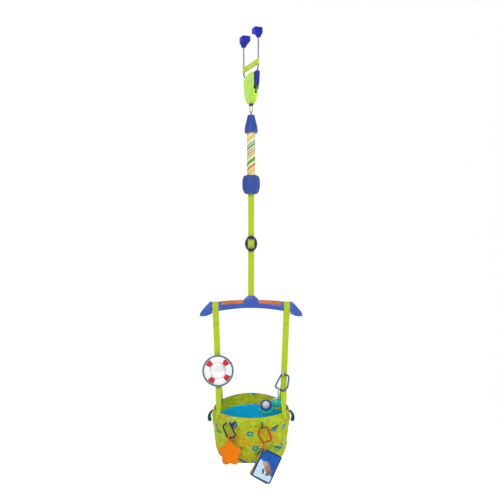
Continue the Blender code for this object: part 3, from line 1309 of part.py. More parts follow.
class Face:
    """Flat working plane that touches the seat at one reach; out is measured away from it."""

    def __init__(self, reach, lift=0.0):
        self.reach = reach
        half_x = SEAT_HALF_WIDTH
        half_y = SEAT_HALF_DEPTH
        low = -half_y * math.sqrt(1.0 - (reach / half_x) ** 2)
        self.along = Vector((-low / half_y * half_x, reach / half_x * half_y, 0.0)).normalized()
        self.out = Vector((self.along.y, -self.along.x, 0.0))
        self.base = Vector((reach, low, 0.0)) + self.out * lift

    def point(self, reach, drop, out):
        """Point at a reach seen from the front, a drop and a distance off the seat."""
        along = self.along * ((reach - self.reach) / self.along.x)
        return self.base + along + self.out * out + Vector((0.0, 0.0, -drop))


def rounded_loop(corners, radius, steps=3):
    """Closed outline with its corners rounded."""
    points = []
    count = len(corners)
    for index in range(count):
        corner = Vector(corners[index])
        before = (Vector(corners[index - 1]) - corner).normalized()
        after = (Vector(corners[(index + 1) % count]) - corner).normalized()
        half = before.angle(after) / 2.0
        inset = radius / math.tan(half)
        start = corner + before * inset
        end = corner + after * inset
        for step in range(steps + 1):
            share = step / steps
            rest = 1.0 - share
            points.append(start * rest * rest + corner * 2.0 * share * rest + end * share * share)
    return points


def build_link(name, corners, finish, pivot, make):
    """A plastic link bent round its corners; make turns (reach, drop) into a point."""
    path = [make(point.x, point.y) for point in rounded_loop(corners, LINK_CORNER)]
    add_piece(name, tube(path, LINK_WIRE / 2.0, WIRE_SIDES, closed=True), finish, pivot)


def highest(corners, radius=LINK_CORNER):
    """Highest point of a link's centre line."""
    return min(rounded_loop(corners, radius, 8), key=lambda point: point.y)


def lowest(corners, radius=LINK_CORNER):
    """Lowest point of a link's centre line."""
    return max(rounded_loop(corners, radius, 8), key=lambda point: point.y)


def closed_band(points, half_width, thickness):
    """Ribbon loop from (centre point, out direction) rows; half_width is along the piece."""
    rings = []
    count = len(points)
    for index, point in enumerate(points):
        tangent = points[(index + 1) % count] - points[index - 1]
        normal = half_width.cross(tangent).normalized() * thickness / 2.0
        rings.append([point - half_width - normal, point + half_width - normal,
                      point + half_width + normal, point - half_width + normal])
    return loft(rings, closed=True)


def ribbon_loop(name, finish, pivot, top, foot, along, out, width, thickness=TAB_THICKNESS):
    """Closed ribbon round two bars; top and foot are (centre, radius of the ribbon's middle)."""
    points = []
    for (centre, radius), first, last in ((foot, math.pi, math.tau), (top, 0.0, math.pi)):
        for step in range(LOOP_STEPS + 1):
            angle = first + (last - first) * step / LOOP_STEPS
            points.append(centre + out * radius * math.cos(angle) + UP * radius * math.sin(angle))
    add_piece(name, closed_band(points, along * width / 2.0, thickness), finish, pivot)


def oriented_brick(centre, along, out, size):
    """Block whose width runs along and whose depth runs out."""
    half = Vector(size) / 2.0
    rings = []
    for sign in (-1.0, 1.0):
        rings.append([centre + along * half.x * a + out * half.y * b + UP * half.z * sign
                      for a, b in ((1, 1), (-1, 1), (-1, -1), (1, -1))])
    return loft(rings)


def ball(centre, radii, sides=ROUND_SIDES):
    """Ellipsoid."""
    bm = bmesh.new()
    bmesh.ops.create_uvsphere(bm, u_segments=sides, v_segments=sides // 2, radius=1.0)
    for vert in bm.verts:
        vert.co = Vector((vert.co.x * radii[0], vert.co.y * radii[1], vert.co.z * radii[2])) + Vector(centre)
    return bm


def facing_front(centre):
    """Matrix that lays a piece turned about Z with its top towards the front."""
    return Matrix.Translation(centre) @ Matrix.Rotation(math.pi / 2.0, 4, 'X')


def add_lug(piece, pivot, bar, along, out, width):
    """A flat ear on a toy, with the slot that its ribbon passes through; bar is its top."""
    ear = oriented_brick(bar - UP * (LUG_HEIGHT / 2.0 - LUG_BAR / 2.0), along, out,
                         (width + 2.0 * LUG_BAR, LUG_THICKNESS, LUG_HEIGHT))
    slot = oriented_brick(bar - UP * (LUG_BAR / 2.0 + LUG_SLOT / 2.0), along, out,
                          (width + 2.0 * GAP, LUG_THICKNESS + OVERRUN, LUG_SLOT))
    combine(piece, add_tool(f"{piece.name}_ear", ear, pivot), 'UNION')
    combine(piece, add_tool(f"{piece.name}_slot", slot, pivot), 'DIFFERENCE')


def seat_front(reach, drop):
    """Point on the seat's outside seen from the front at a reach and a drop."""
    angle = -math.pi / 2.0
    point = seat_point(angle, 0.0)
    for _ in range(6):
        rim = rim_drop(angle)
        share = max(0.0, (drop - rim) / (SEAT_FOOT_DROP - rim))
        angle = -math.acos(reach / (SEAT_HALF_WIDTH * profile_size(share)))
        point = seat_point(angle, share)
    return point


def red_block(clearance):
    """Outline of one red block, a short piece of a ring, larger all round by clearance."""
    outline = []
    half = (RED_BLOCK_WIDTH / 2.0 + clearance) / RED_BLOCK_OUTER
    for radius, sign in ((RED_BLOCK_INNER - clearance, -1.0), (RED_BLOCK_OUTER + clearance, 1.0)):
        for step in range(RED_BLOCK_STEPS + 1):
            angle = half * sign * (1.0 - 2.0 * step / RED_BLOCK_STEPS)
            outline.append((radius * math.cos(angle), radius * math.sin(angle)))
    return outline


def build_mirror(hanger):
    """Life-ring mirror that clips on the left strap."""
    drop = Vector((-strap_x(-MIRROR_DROP), 0.0, -MIRROR_DROP))
    pivot = Pivot("mirror_axis", drop, hanger)
    half_strap = WEBBING_THICKNESS + GAP / 2.0
    back_y = -(half_strap + GAP)
    lay = facing_front(drop + Vector((0.0, back_y, 0.0)))
    rim = MIRROR_DIAMETER / 2.0
    inside = rim - MIRROR_RIM_WIDTH
    glass = MIRROR_GLASS_DIAMETER / 2.0
    deep = MIRROR_BODY_THICKNESS
    edge = MIRROR_RIM_WIDTH / 3.0
    section = ((inside, 0.0), (rim - edge, 0.0), (rim, edge), (rim, deep - edge), (rim - edge, deep),
               (inside + edge, deep), (inside, deep - edge))
    add_piece("mirror_rim", placed(turned_ring(section, MIRROR_STEPS), lay), "teal_plastic", pivot)
    plate = RED_PLATE_THICKNESS
    plate_rim = inside - GAP
    disc = turned(((plate_rim, 0.0), (plate_rim, plate)), MIRROR_STEPS)
    back = add_piece("mirror_back", placed(disc, lay), "white_plastic", pivot)
    inner_x = WEBBING_WIDTH / 2.0 + CLIP_CLEARANCE
    hook = half_strap + GAP
    wall_front = back_y - plate / 2.0
    wall_back = hook + CLIP_WALL
    for side in (-1.0, 1.0):
        middle = drop + Vector((side * (inner_x + CLIP_WALL / 2.0), (wall_back + wall_front) / 2.0, 0.0))
        wall = oriented_brick(middle, RIGHT, FRONT, (CLIP_WALL, wall_back - wall_front, CLIP_HEIGHT))
        lip_reach = side * (inner_x + CLIP_WALL - CLIP_LIP / 2.0)
        lip_middle = drop + Vector((lip_reach, wall_back - CLIP_WALL / 2.0, 0.0))
        lip = oriented_brick(lip_middle, RIGHT, FRONT, (CLIP_LIP, CLIP_WALL, CLIP_HEIGHT))
        combine(back, add_tool(f"clip_wall_{side:.0f}", wall, pivot), 'UNION')
        combine(back, add_tool(f"clip_lip_{side:.0f}", lip, pivot), 'UNION')
    red_low = plate + GAP
    red_high = red_low + plate
    section = ((glass, red_low), (plate_rim, red_low), (plate_rim, red_high), (glass, red_high))
    red = add_piece("mirror_red_plate", placed(turned_ring(section, MIRROR_STEPS), lay), "red_plastic", pivot)
    face_low = red_high + GAP
    hole = glass + GAP
    section = ((hole, face_low), (plate_rim, face_low), (plate_rim, deep - edge), (plate_rim - edge, deep),
               (hole + edge, deep), (hole, deep - edge))
    ring = add_piece("mirror_ring", placed(turned_ring(section, MIRROR_STEPS), lay), "white_plastic", pivot)
    for number, angle in enumerate(RED_BLOCK_ANGLES):
        turn = Matrix.Rotation(angle, 4, 'Z')
        for piece, clearance, operation in ((red, 0.0, 'UNION'), (ring, GAP, 'DIFFERENCE')):
            top = deep + RED_BLOCK_RISE if piece is red else deep + OVERRUN
            foot = red_low + plate / 2.0 if piece is red else red_high
            pad = placed(prism(red_block(clearance), along_z, foot, top), lay @ turn)
            combine(piece, add_tool(f"{piece.name}_block_{number}", pad, pivot), operation)
    disc = turned(((glass - GAP, plate + GAP), (glass - GAP, deep * 0.55)), MIRROR_STEPS)
    add_piece("mirror_glass", placed(disc, lay), "mirror_film", pivot)


def build_strap_link(hanger, seat_pivot):
    """Link on the right strap, its tab, and the rattle on its ribbon."""
    top = highest(STRAP_LINK_CORNERS)

    def make(reach, drop):
        return Vector((reach, -STRAP_LINK_SETBACK - (drop - top.y) * STRAP_LINK_LEAN_SHARE, -drop))

    wire = make(top.x, top.y)
    wrap = LINK_WIRE / 2.0 + LINK_PLAY + TAB_THICKNESS / 2.0
    sewn = Vector((top.x, -(WEBBING_THICKNESS + 2.0 * GAP + TAB_THICKNESS), wire.z + TAB_RISE))
    small = TAB_THICKNESS / 2.0 + GAP
    ribbon_loop("link_tab", "pale_ribbon", seat_pivot, (sewn, small), (wire, wrap), RIGHT, FRONT,
                TAB_LOOP_WIDTH)
    pivot = Pivot("strap_link_axis", wire, hanger)
    build_link("strap_link", STRAP_LINK_CORNERS, "link_teal_plastic", pivot, make)
    share = RATTLE_HANG_SHARE
    low_left = Vector(STRAP_LINK_CORNERS[-1])
    low = Vector(STRAP_LINK_CORNERS[-2])
    spot = low_left.lerp(low, share)
    build_rattle(hanger, make(spot.x, spot.y))


def build_rattle(hanger, wire):
    """Rattle: a ring with a bead on an axle, a dome and a row of lobes, on a ribbon."""
    pivot = Pivot("rattle_axis", wire, hanger)
    y = -RATTLE_SETBACK
    dome_centre = Vector((DOME_REACH, y, -DOME_DROP))
    radii = (DOME_WIDTH / 2.0, RATTLE_DEPTH / 2.0, DOME_HEIGHT / 2.0)
    bar = Vector((wire.x, y, dome_centre.z + radii[2] + LUG_RISE))
    wrap = LINK_WIRE / 2.0 + 2.0 * LINK_PLAY + TAB_THICKNESS / 2.0
    foot_wrap = math.hypot(LUG_THICKNESS, LUG_BAR) / 2.0 + GAP + TAB_THICKNESS / 2.0
    ribbon_loop("rattle_ribbon", "pale_ribbon", pivot, (wire, wrap), (bar, foot_wrap), RIGHT, FRONT,
                RATTLE_RIBBON_WIDTH)
    centre = Vector((RATTLE_REACH, y, -RATTLE_DROP))
    path = []
    lobe_radii = []
    steps = LOBE_COUNT * LOBE_STEPS
    for step in range(steps + 1):
        share = step / steps
        angle = math.radians(LOBE_START + (LOBE_END - LOBE_START) * share)
        reach = FRAME_DIAMETER / 2.0 + GAP + LOBE_DIAMETER / 2.0
        path.append(centre + Vector((reach * math.cos(angle), 0.0, reach * math.sin(angle))))
        swell = abs(math.sin(math.pi * share * LOBE_COUNT))
        lobe_radii.append(LOBE_DIAMETER / 2.0 * (LOBE_NECK_SHARE + (1.0 - LOBE_NECK_SHARE) * swell))
    teal = add_piece("rattle_dome", ball(dome_centre, radii), "rattle_teal_plastic", pivot)
    join(teal, pivot, tube(path, lobe_radii, WIRE_SIDES))
    add_lug(teal, pivot, bar, RIGHT, FRONT, RATTLE_RIBBON_WIDTH)
    half_deep = FRAME_DEPTH / 2.0
    outer = FRAME_DIAMETER / 2.0
    inner = BEAD_DIAMETER / 2.0 + FRAME_CLEARANCE
    edge = (outer - inner) / 3.0
    section = ((inner, -half_deep), (outer - edge, -half_deep), (outer, -half_deep + edge),
               (outer, half_deep - edge), (outer - edge, half_deep), (inner, half_deep))
    frame = add_piece("rattle_frame", placed(turned_ring(section, CAP_SIDES), facing_front(centre)),
                      "rattle_navy_plastic", pivot)
    reach = RIGHT * (inner + edge)
    axle = rod_between(centre - reach, centre + reach, BEAD_HOLE_DIAMETER - 4.0 * GAP)
    join(frame, pivot, axle)
    grown = [radius + GAP for radius in radii]
    combine(frame, add_tool("rattle_frame_dome_seat", ball(dome_centre, grown), pivot), 'DIFFERENCE')
    spin = Pivot("bead_axis", centre, hanger)
    radius = BEAD_DIAMETER / 2.0
    hole = BEAD_HOLE_DIAMETER / 2.0
    last = math.acos(hole / radius)
    section = arc((0.0, 0.0), radius, -last, last, BEAD_STEPS, lambda a, b: (a, b))
    bead = placed(turned_ring(section), Matrix.Translation(centre) @ Matrix.Rotation(math.pi / 2.0, 4, 'Y'))
    add_piece("rattle_bead", bead, "bead_plastic", spin)


def build_seat_link(name, tab_name, corners, finishes, face, hanger, seat_pivot):
    """A link in front of the seat and the tab that is sewn to the seat and holds it."""
    top = highest(corners)
    wire = face.point(top.x, top.y, LINK_STAND_OFF)
    pivot = Pivot(f"{name}_axis", wire, hanger)
    build_link(name, corners, finishes[0], pivot, lambda a, b: face.point(a, b, LINK_STAND_OFF))
    sewn_drop = top.y - TAB_RISE
    surface = seat_front(top.x, sewn_drop)
    sewn = Vector((wire.x, wire.y, -sewn_drop))
    depth = (surface - sewn).dot(face.out)
    small = TAB_THICKNESS * 0.5 + GAP
    sewn += face.out * (depth + small + TAB_THICKNESS / 2.0 + GAP)
    wrap = LINK_WIRE / 2.0 + LINK_PLAY + TAB_THICKNESS / 2.0
    ribbon_loop(tab_name, finishes[1], seat_pivot, (sewn, small), (wire, wrap), face.along, face.out,
                TAB_LOOP_WIDTH)


def star_outline():
    """Chubby five-pointed outline."""
    outline = []
    for step in range(STAR_STEPS):
        angle = math.tau * step / STAR_STEPS
        lobe = (0.5 + 0.5 * math.cos(5.0 * angle)) ** 0.8
        radius = STAR_RADIUS * (STAR_WAIST_SHARE + (1.0 - STAR_WAIST_SHARE) * lobe)
        turn = angle + math.pi / 2.0 + STAR_TURN
        outline.append((radius * math.cos(turn), radius * math.sin(turn)))
    return outline


def build_star(hanger, seat_pivot):
    """Soft star on its link."""
    face = Face(STAR_REACH)
    build_seat_link("star_link", "star_tab", STAR_LINK_CORNERS, ("navy_plastic", "pale_ribbon"), face,
                    hanger, seat_pivot)
    low = lowest(STAR_LINK_CORNERS)
    wire = face.point(low.x, low.y, LINK_STAND_OFF)
    pivot = Pivot("star_axis", wire, hanger)
    out = STAR_THICKNESS / 2.0 + STAR_STAND_OFF
    rings = []
    for depth_share, size in STAR_LEVEL_SHARES:
        rings.append([face.point(STAR_REACH, STAR_DROP, out + depth_share * STAR_THICKNESS / 2.0)
                      + face.along * a * size + UP * b * size for a, b in star_outline()])
    star = add_piece("star_toy", loft(rings), "orange_soft", pivot)
    bar = face.point(low.x, STAR_DROP - STAR_RADIUS - LUG_RISE, out)
    add_lug(star, pivot, bar, face.along, face.out, CARD_RIBBON_WIDTH)
    wrap = LINK_WIRE / 2.0 + LINK_PLAY + TAB_THICKNESS / 2.0
    foot_wrap = math.hypot(LUG_THICKNESS, LUG_BAR) / 2.0 + GAP + TAB_THICKNESS / 2.0
    ribbon_loop("star_loop", "orange_soft", pivot, (wire, wrap), (bar, foot_wrap), face.along, face.out,
                CARD_RIBBON_WIDTH)


def build_cards(hanger, seat_pivot):
    """Two picture cards on a ribbon round the red link."""
    face = Face(CARD_HANG_REACH)
    build_seat_link("red_link", "red_tab", RED_LINK_CORNERS, ("red_link_plastic", "green_ribbon"), face,
                    hanger, seat_pivot)
    low = lowest(RED_LINK_CORNERS)
    wire = face.point(low.x, low.y, LINK_STAND_OFF)
    link_pivot = Pivot("card_ribbon_axis", wire, hanger)
    leaf = CARD_THICKNESS
    pair = leaf + GAP
    foot_wrap = pair + CARD_PLAY + TAB_THICKNESS / 2.0
    middle_out = foot_wrap + TAB_THICKNESS / 2.0 + 2.0 * GAP
    hole = face.point(low.x, CARD_HANG_DROP + CARD_HOLE_INSET, middle_out)
    for name, finish, sign, fan in (("card_back", "card_back_print", -1.0, -CARD_FAN),
                                    ("card_front", "card_blue_print", 1.0, 0.0)):
        pivot = Pivot(f"{name}_axis", hole, hanger)
        tilt = CARD_TILT - fan
        right = (face.along * math.cos(tilt) - UP * math.sin(tilt))
        down = (-face.along * math.sin(tilt) - UP * math.cos(tilt))
        corner = hole - right * CARD_HOLE_INSET - down * CARD_HOLE_INSET
        outs = sorted((sign * GAP / 2.0, sign * (GAP / 2.0 + leaf)))
        rings = []
        for out, inset in ((outs[0], CARD_EDGE), (outs[0] + CARD_EDGE, 0.0), (outs[1] - CARD_EDGE, 0.0),
                           (outs[1], CARD_EDGE)):
            outline = rounded(CARD_WIDTH - 2.0 * inset, CARD_HEIGHT - 2.0 * inset, CARD_CORNER,
                              centre=(CARD_WIDTH / 2.0, CARD_HEIGHT / 2.0))
            rings.append([corner + right * a + down * b + face.out * out for a, b in outline])
        card = add_piece(name, loft(rings), finish, pivot)
        reach = face.out * (2.0 * leaf)
        cut(card, pivot, rod_between(hole - reach, hole + reach, CARD_HOLE_DIAMETER, ROUND_SIDES))
    wrap = LINK_WIRE / 2.0 + LINK_PLAY + TAB_THICKNESS / 2.0
    foot = hole + UP * (foot_wrap - CARD_RIBBON_DIP)
    ribbon_loop("card_ribbon", "orange_soft", link_pivot, (wire, wrap), (foot, foot_wrap), face.along,
                face.out, CARD_RIBBON_WIDTH)


def build_side_loops(seat_pivot):
    """Green ribbon loops in the seat's side seams, beside the straps."""
    for angle, name in ((math.radians(SIDE_LOOP_ANGLE), "side_loop_right"),
                        (math.pi - math.radians(SIDE_LOOP_ANGLE), "side_loop_left")):
        point, along, out = surface_frame(angle, 0.02)
        outward = Vector((math.cos(angle), math.sin(angle), 0.0))
        out = out if out.dot(outward) > 0.0 else -out
        small = TAB_THICKNESS * 0.5 + GAP
        top = point + out * (small + TAB_THICKNESS / 2.0 + SIDE_LOOP_STAND_OFF)
        foot = seat_point(angle, SIDE_LOOP_SHARE)
        foot += out * (SIDE_LOOP_RADIUS + TAB_THICKNESS / 2.0 + SIDE_LOOP_STAND_OFF)
        ribbon_loop(name, "green_ribbon", seat_pivot, (top, small), (foot, SIDE_LOOP_RADIUS), along, out,
                    TAB_WIDTH)


def main():
    """Build the whole part."""
    clear_scene()
    build_clamp()
    head_top = build_chain()
    hanger = bpy.data.objects.new("hanging_frame", None)
    bpy.context.scene.collection.objects.link(hanger)
    hanger.rotation_euler = (0.0, 0.0, TURN)
    lower = build_spring_unit(hanger, head_top)
    build_main_strap(lower, hanger)
    build_bar(hanger)
    seat = Pivot("seat_axis", (0.0, 0.0, SADDLE_Z), hanger)
    build_seat(seat)
    build_side_strap(-1, "strap_left", seat)
    build_side_strap(1, "strap_right", seat)
    build_side_loops(seat)
    build_mirror(hanger)
    build_strap_link(hanger, seat)
    build_star(hanger, seat)
    build_cards(hanger, seat)
    bpy.context.view_layer.update()


main()
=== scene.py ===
"""Finishes the doorway jumper: fabric, webbing, plastics, toys, stage and camera over its solid frame."""

import math

import bmesh
import bpy
from mathutils import Matrix, Vector, noise


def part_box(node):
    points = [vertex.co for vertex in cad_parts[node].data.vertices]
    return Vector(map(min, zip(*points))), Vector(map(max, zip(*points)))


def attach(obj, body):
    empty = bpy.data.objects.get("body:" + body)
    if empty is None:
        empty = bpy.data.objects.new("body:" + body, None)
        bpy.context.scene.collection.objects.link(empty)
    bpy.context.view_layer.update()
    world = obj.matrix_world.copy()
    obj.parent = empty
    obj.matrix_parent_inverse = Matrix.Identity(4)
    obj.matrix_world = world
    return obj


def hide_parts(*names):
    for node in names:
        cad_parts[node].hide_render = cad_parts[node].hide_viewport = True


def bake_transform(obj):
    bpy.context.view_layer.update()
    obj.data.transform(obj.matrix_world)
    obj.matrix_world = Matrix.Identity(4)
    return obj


bl_info = {
    "name": "Doorway jumper finish",
    "version": (1, 0, 0),
    "blender": (4, 5, 0),
    "location": "View3D > Sidebar > Jumper",
    "description": "Builds the soft pieces, finishes and stage of a doorway jumper over its frame",
    "category": "Object",
}

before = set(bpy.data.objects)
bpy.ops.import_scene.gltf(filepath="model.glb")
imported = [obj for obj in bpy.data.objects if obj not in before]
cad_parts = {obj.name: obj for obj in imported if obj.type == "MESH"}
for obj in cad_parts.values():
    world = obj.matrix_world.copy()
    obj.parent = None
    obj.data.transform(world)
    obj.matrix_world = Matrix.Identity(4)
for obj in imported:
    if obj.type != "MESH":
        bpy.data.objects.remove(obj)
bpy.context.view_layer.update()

# Hanging frame: everything from the link down is turned by this about the suspension axis
TURN = Matrix.Rotation(math.radians(-22.6), 4, 'Z')
UP = Vector((0.0, 0.0, 1.0))
RIGHT = Vector((1.0, 0.0, 0.0))
FRONT = Vector((0.0, -1.0, 0.0))
GAP = 0.0003

# What the scene alone sets: lengths in metres, shares of the way down the seat, angles, counts
PATH_STEP = 0.0022
STRAP_STEP = 0.0035
SEWN_STEP = 1.45
STITCH_FLATNESS = 1.25
THREAD_RADIUS = 0.00035
HEM_SHARE = 0.045
SEAM_STITCH_ANGLE = 0.028
SHARE_LIMIT = 0.99
CLOTH_UV_GIRTH = 0.140
CLOTH_UV_DEPTH = 0.225
SURFACE_INSET = 0.0002
LINING_CLOTH = 0.0018
SEAM_TAPE_RADIUS = 0.0014
BINDING_PLAY = 0.0004
BINDING_OVERLAP = 0.0014
BINDING_THICKNESS = 0.0018
SIDE_RIBBON_WIDTH = 0.012
COIL_RADIUS = 0.0116
COIL_WIRE_RADIUS = 0.0015
COIL_TURNS = 25
COIL_SHORTFALL = 0.0058
SLEEVE_CLOTH = 0.0009
RATTLE_Y = -0.006
RATTLE_BALL_RADIUS = 0.0165
RATTLE_BALL_BORE = 0.0025

# Sizes repeated from the solid model, in metres
ROD_RADIUS = 0.00325
FRONT_ROD_Y = -0.077
REAR_ROD_Y = 0.082
SAFETY_TOP = 0.1125
TOP_CAP_FOOT = -0.411
BOTTOM_CAP_TOP = -0.590
BOTTOM_CAP_FOOT = -0.6665
ANCHOR_PIN_Z = -0.642
ANCHOR_PIN_RADIUS = 0.003
SLEEVE_RADIUS = 0.0175
SLEEVE_TUCK = 0.016
BUCKLE_Z = -0.873
BUCKLE_HEIGHT = 0.066
BUCKLE_THICKNESS = 0.007
BUCKLE_WINDOW_HEIGHT = 0.0165
BUCKLE_ENTRY = 0.003
BUCKLE_BAR_HEIGHT = 0.007
BUCKLE_BAR_THICKNESS = 0.003
BAR_TOP = -1.086
BAR_PIN_Z = -1.112
BAR_PIN_RADIUS = 0.004
SADDLE_Z = -1.1315
SADDLE_REACH = 0.146
SADDLE_RADIUS = 0.0185
SADDLE_SPREAD = math.radians(21.0)
STRAP_SEW_Z = -1.184
STRAP_SPLIT_Z = -1.455
STRAP_FOOT_REACH = 0.128
SEAT_HALF_WIDTH = 0.158
SEAT_HALF_DEPTH = 0.120
RIM_BACK = 1.491
RIM_SIDE = 1.543
RIM_FRONT = 1.575
SEAT_FOOT = 1.757
RIM_BEND_SHARE = 1.3
PUCKER_DEPTH = 0.0016
PUCKER_COUNT = 10
LEG_HOLE_WIDTH = 0.105
LEG_HOLE_DEPTH = 0.130
LEG_HOLE_SPACING = 0.152
LEG_HOLE_SETBACK = 0.008
LEG_HOLE_REACH = 0.060
SHELL_THICKNESS = 0.005
LINING_DROP = 0.045
CLOTH_PROFILE_SHARES = (
    (0.00, 0.962), (0.05, 0.995), (0.12, 1.012), (0.22, 0.995), (0.36, 0.972), (0.50, 0.952),
    (0.64, 0.925), (0.78, 0.876), (0.88, 0.810), (0.95, 0.710), (0.99, 0.560),
)
LINK_WIRE = 0.0065
LINK_CORNER = 0.010
LINK_PLAY = 0.0015
LINK_STAND_OFF = 0.0085
STRAP_LINK_SETBACK = 0.0082
STRAP_LINK_LEAN_SHARE = 0.16
STRAP_LINK_CORNERS = (
    (0.1230, 1.4060), (0.1540, 1.4120), (0.1480, 1.4590), (0.1300, 1.4740), (0.0960, 1.4580),
)
STAR_LINK_CORNERS = (
    (-0.1100, 1.6070), (-0.0830, 1.5890), (-0.0555, 1.6455), (-0.0870, 1.6555),
)
RED_LINK_CORNERS = (
    (0.0330, 1.6080), (0.0640, 1.6100), (0.0790, 1.6620), (0.0470, 1.6700), (0.0250, 1.6400),
)
TAB_THICKNESS = 0.0014
TAB_LOOP_WIDTH = 0.006
TAB_RISE = 0.017
STAR_REACH = -0.0790
STAR_DROP = 1.7130
STAR_RADIUS = 0.0460
STAR_FULLNESS = 1.06
STAR_THICKNESS = 0.018
STAR_STAND_OFF = 0.0015
STAR_WAIST_SHARE = 0.74
STAR_TURN = math.radians(3.0)
CARD_WIDTH = 0.085
CARD_HEIGHT = 0.1175
CARD_THICKNESS = 0.005
CARD_CORNER = 0.007
CARD_HANG_REACH = 0.052
CARD_HANG_DROP = 1.6920
CARD_TILT = math.radians(26.5)
CARD_FAN = math.radians(4.0)
CARD_HOLE_INSET = 0.009
CARD_HOLE_RADIUS = 0.005
MIRROR_DROP = 1.393
MIRROR_RADIUS = 0.064
MIRROR_RIM_WIDTH = 0.0068
MIRROR_GLASS_RADIUS = 0.0315
MIRROR_DEPTH = 0.014
MIRROR_BLOCK_ANGLES = tuple(math.radians(angle) for angle in (46.0, 141.0, 236.0, 323.0))
MIRROR_BLOCK_INNER = 0.0325
MIRROR_BLOCK_OUTER = 0.0566
MIRROR_BLOCK_WIDTH = 0.0325


def colour_setting(name, colour, about):
    """A colour that the user can change."""
    return bpy.props.FloatVectorProperty(name=name, description=about, default=colour, size=3, min=0.0,
                                         max=1.0, subtype='COLOR')


class JumperSizes(bpy.types.PropertyGroup):
    """Sizes of the soft pieces."""

    webbing_width: bpy.props.FloatProperty(
        name="Webbing width", description="Width of the lime straps", default=0.025, min=0.01, max=0.05,
        unit='LENGTH')
    webbing_thickness: bpy.props.FloatProperty(
        name="Webbing thickness", description="Thickness of the lime straps", default=0.0016, min=0.0008,
        max=0.003, unit='LENGTH')
    rib_spacing: bpy.props.FloatProperty(
        name="Rib spacing", description="Distance between the woven ribs of the webbing", default=0.0016,
        min=0.0005, max=0.004, unit='LENGTH')
    wrinkle_depth: bpy.props.FloatProperty(
        name="Seat wrinkles", description="Depth of the folds in the seat's cloth", default=0.0054, min=0.0,
        max=0.006, unit='LENGTH')
    piping_radius: bpy.props.FloatProperty(
        name="Piping", description="Radius of the piping along the seat's rim", default=0.0016, min=0.0005,
        max=0.004, unit='LENGTH')
    stitch_length: bpy.props.FloatProperty(
        name="Stitch length", description="Length of one sewn stitch", default=0.003, min=0.001, max=0.008,
        unit='LENGTH')


class JumperColours(bpy.types.PropertyGroup):
    """Colours of the finishes, as linear values."""

    lime_webbing: colour_setting("Webbing", (0.478, 0.640, 0.020), "Lime webbing of every strap")
    lime_plastic: colour_setting("Housing", (0.500, 0.860, 0.020), "Lime plastic of the clamp's housing")
    deep_blue: colour_setting("Pads and grip", (0.004, 0.008, 0.400), "Deep blue of the pads and grip")
    cap_blue: colour_setting("Spring caps", (0.026, 0.064, 0.330), "Blue of the two spring caps")
    bar_blue: colour_setting("Bar", (0.036, 0.100, 0.470), "Blue of the spreader bar")
    bar_orange: colour_setting("Bar inserts", (0.640, 0.165, 0.022), "Orange of the bar's soft inserts")
    navy: colour_setting("Buckle", (0.003, 0.013, 0.044), "Navy of the slide buckle and the star's link")
    print_lime: colour_setting("Seat print, ground", (0.590, 0.740, 0.018), "Ground of the seat's print")
    print_gold: colour_setting("Seat print, gold", (0.780, 0.510, 0.014), "Gold clouds of the print")
    print_teal: colour_setting("Seat print, teal", (0.006, 0.230, 0.130), "Teal leaves of the print")
    print_blue: colour_setting("Seat print, blue", (0.000, 0.070, 0.300), "Blue leaves of the print")
    print_aqua: colour_setting("Seat print, aqua", (0.250, 0.620, 0.480), "Pale rings of the print")
    print_orange: colour_setting("Seat print, orange", (0.700, 0.200, 0.040), "Orange dots of the print")
    lining: colour_setting("Seat lining", (0.000, 0.540, 0.960), "Bright blue lining")
    star: colour_setting("Star", (1.000, 0.230, 0.000), "Orange of the star")
    red: colour_setting("Red blocks", (0.670, 0.008, 0.045), "Red blocks of the ring toy")


def sizes():
    """The scene's sizes."""
    return bpy.context.scene.jumper_sizes


def colours():
    """The scene's colours."""
    return bpy.context.scene.jumper_colours


# Mesh helpers

def circle(count):
    """Angles at equal steps round."""
    return [math.tau * step / count for step in range(count)]


def loft(rings, closed=False):
    """Skin over rings of equal length; closed joins the last ring to the first."""
    bm = bmesh.new()
    rows = [[bm.verts.new(point) for point in ring] for ring in rings]
    count = len(rows[0])
    spans = list(zip(rows, rows[1:]))
    if closed:
        spans.append((rows[-1], rows[0]))
    for low, high in spans:
        for index in range(count):
            after = (index + 1) % count
            bm.faces.new((low[index], low[after], high[after], high[index]))
    if not closed:
        bm.faces.new(list(reversed(rows[0])))
        bm.faces.new(rows[-1])
    bmesh.ops.recalc_face_normals(bm, faces=bm.faces)
    return bm


def merged(*solids):
    """Several meshes as one."""
    whole = bmesh.new()
    for solid in solids:
        mesh = bpy.data.meshes.new("part")
        solid.to_mesh(mesh)
        solid.free()
        whole.from_mesh(mesh)
        bpy.data.meshes.remove(mesh)
    return whole


def moved(bm, matrix):
    """The mesh under a transform."""
    bmesh.ops.transform(bm, matrix=matrix, verts=bm.verts)
    return bm


def lathe(section, steps):
    """Closed section of (radius, height) points turned about Z."""
    return loft([[(radius * math.cos(angle), radius * math.sin(angle), height)
                  for radius, height in section] for angle in circle(steps)], closed=True)


def disc_lathe(profile, steps):
    """Open profile of (radius, height) points turned about Z and closed at both ends."""
    return loft([[(max(radius, 1e-5) * math.cos(angle), max(radius, 1e-5) * math.sin(angle), height)
                  for angle in circle(steps)] for radius, height in profile])


def evenly(points, spacing, closed=False):
    """The path resampled at about one spacing."""
    points = [Vector(point) for point in points]
    if closed:
        points = points + [points[0]]
    lengths = [(b - a).length for a, b in zip(points, points[1:])]
    total = sum(lengths)
    count = max(2, round(total / spacing))
    made = []
    index = 0
    passed = 0.0
    for step in range(count + (0 if closed else 1)):
        target = total * step / count
        while index < len(lengths) - 1 and passed + lengths[index] < target:
            passed += lengths[index]
            index += 1
        share = (target - passed) / lengths[index] if lengths[index] > 0.0 else 0.0
        made.append(points[index].lerp(points[index + 1], min(1.0, share)))
    return made


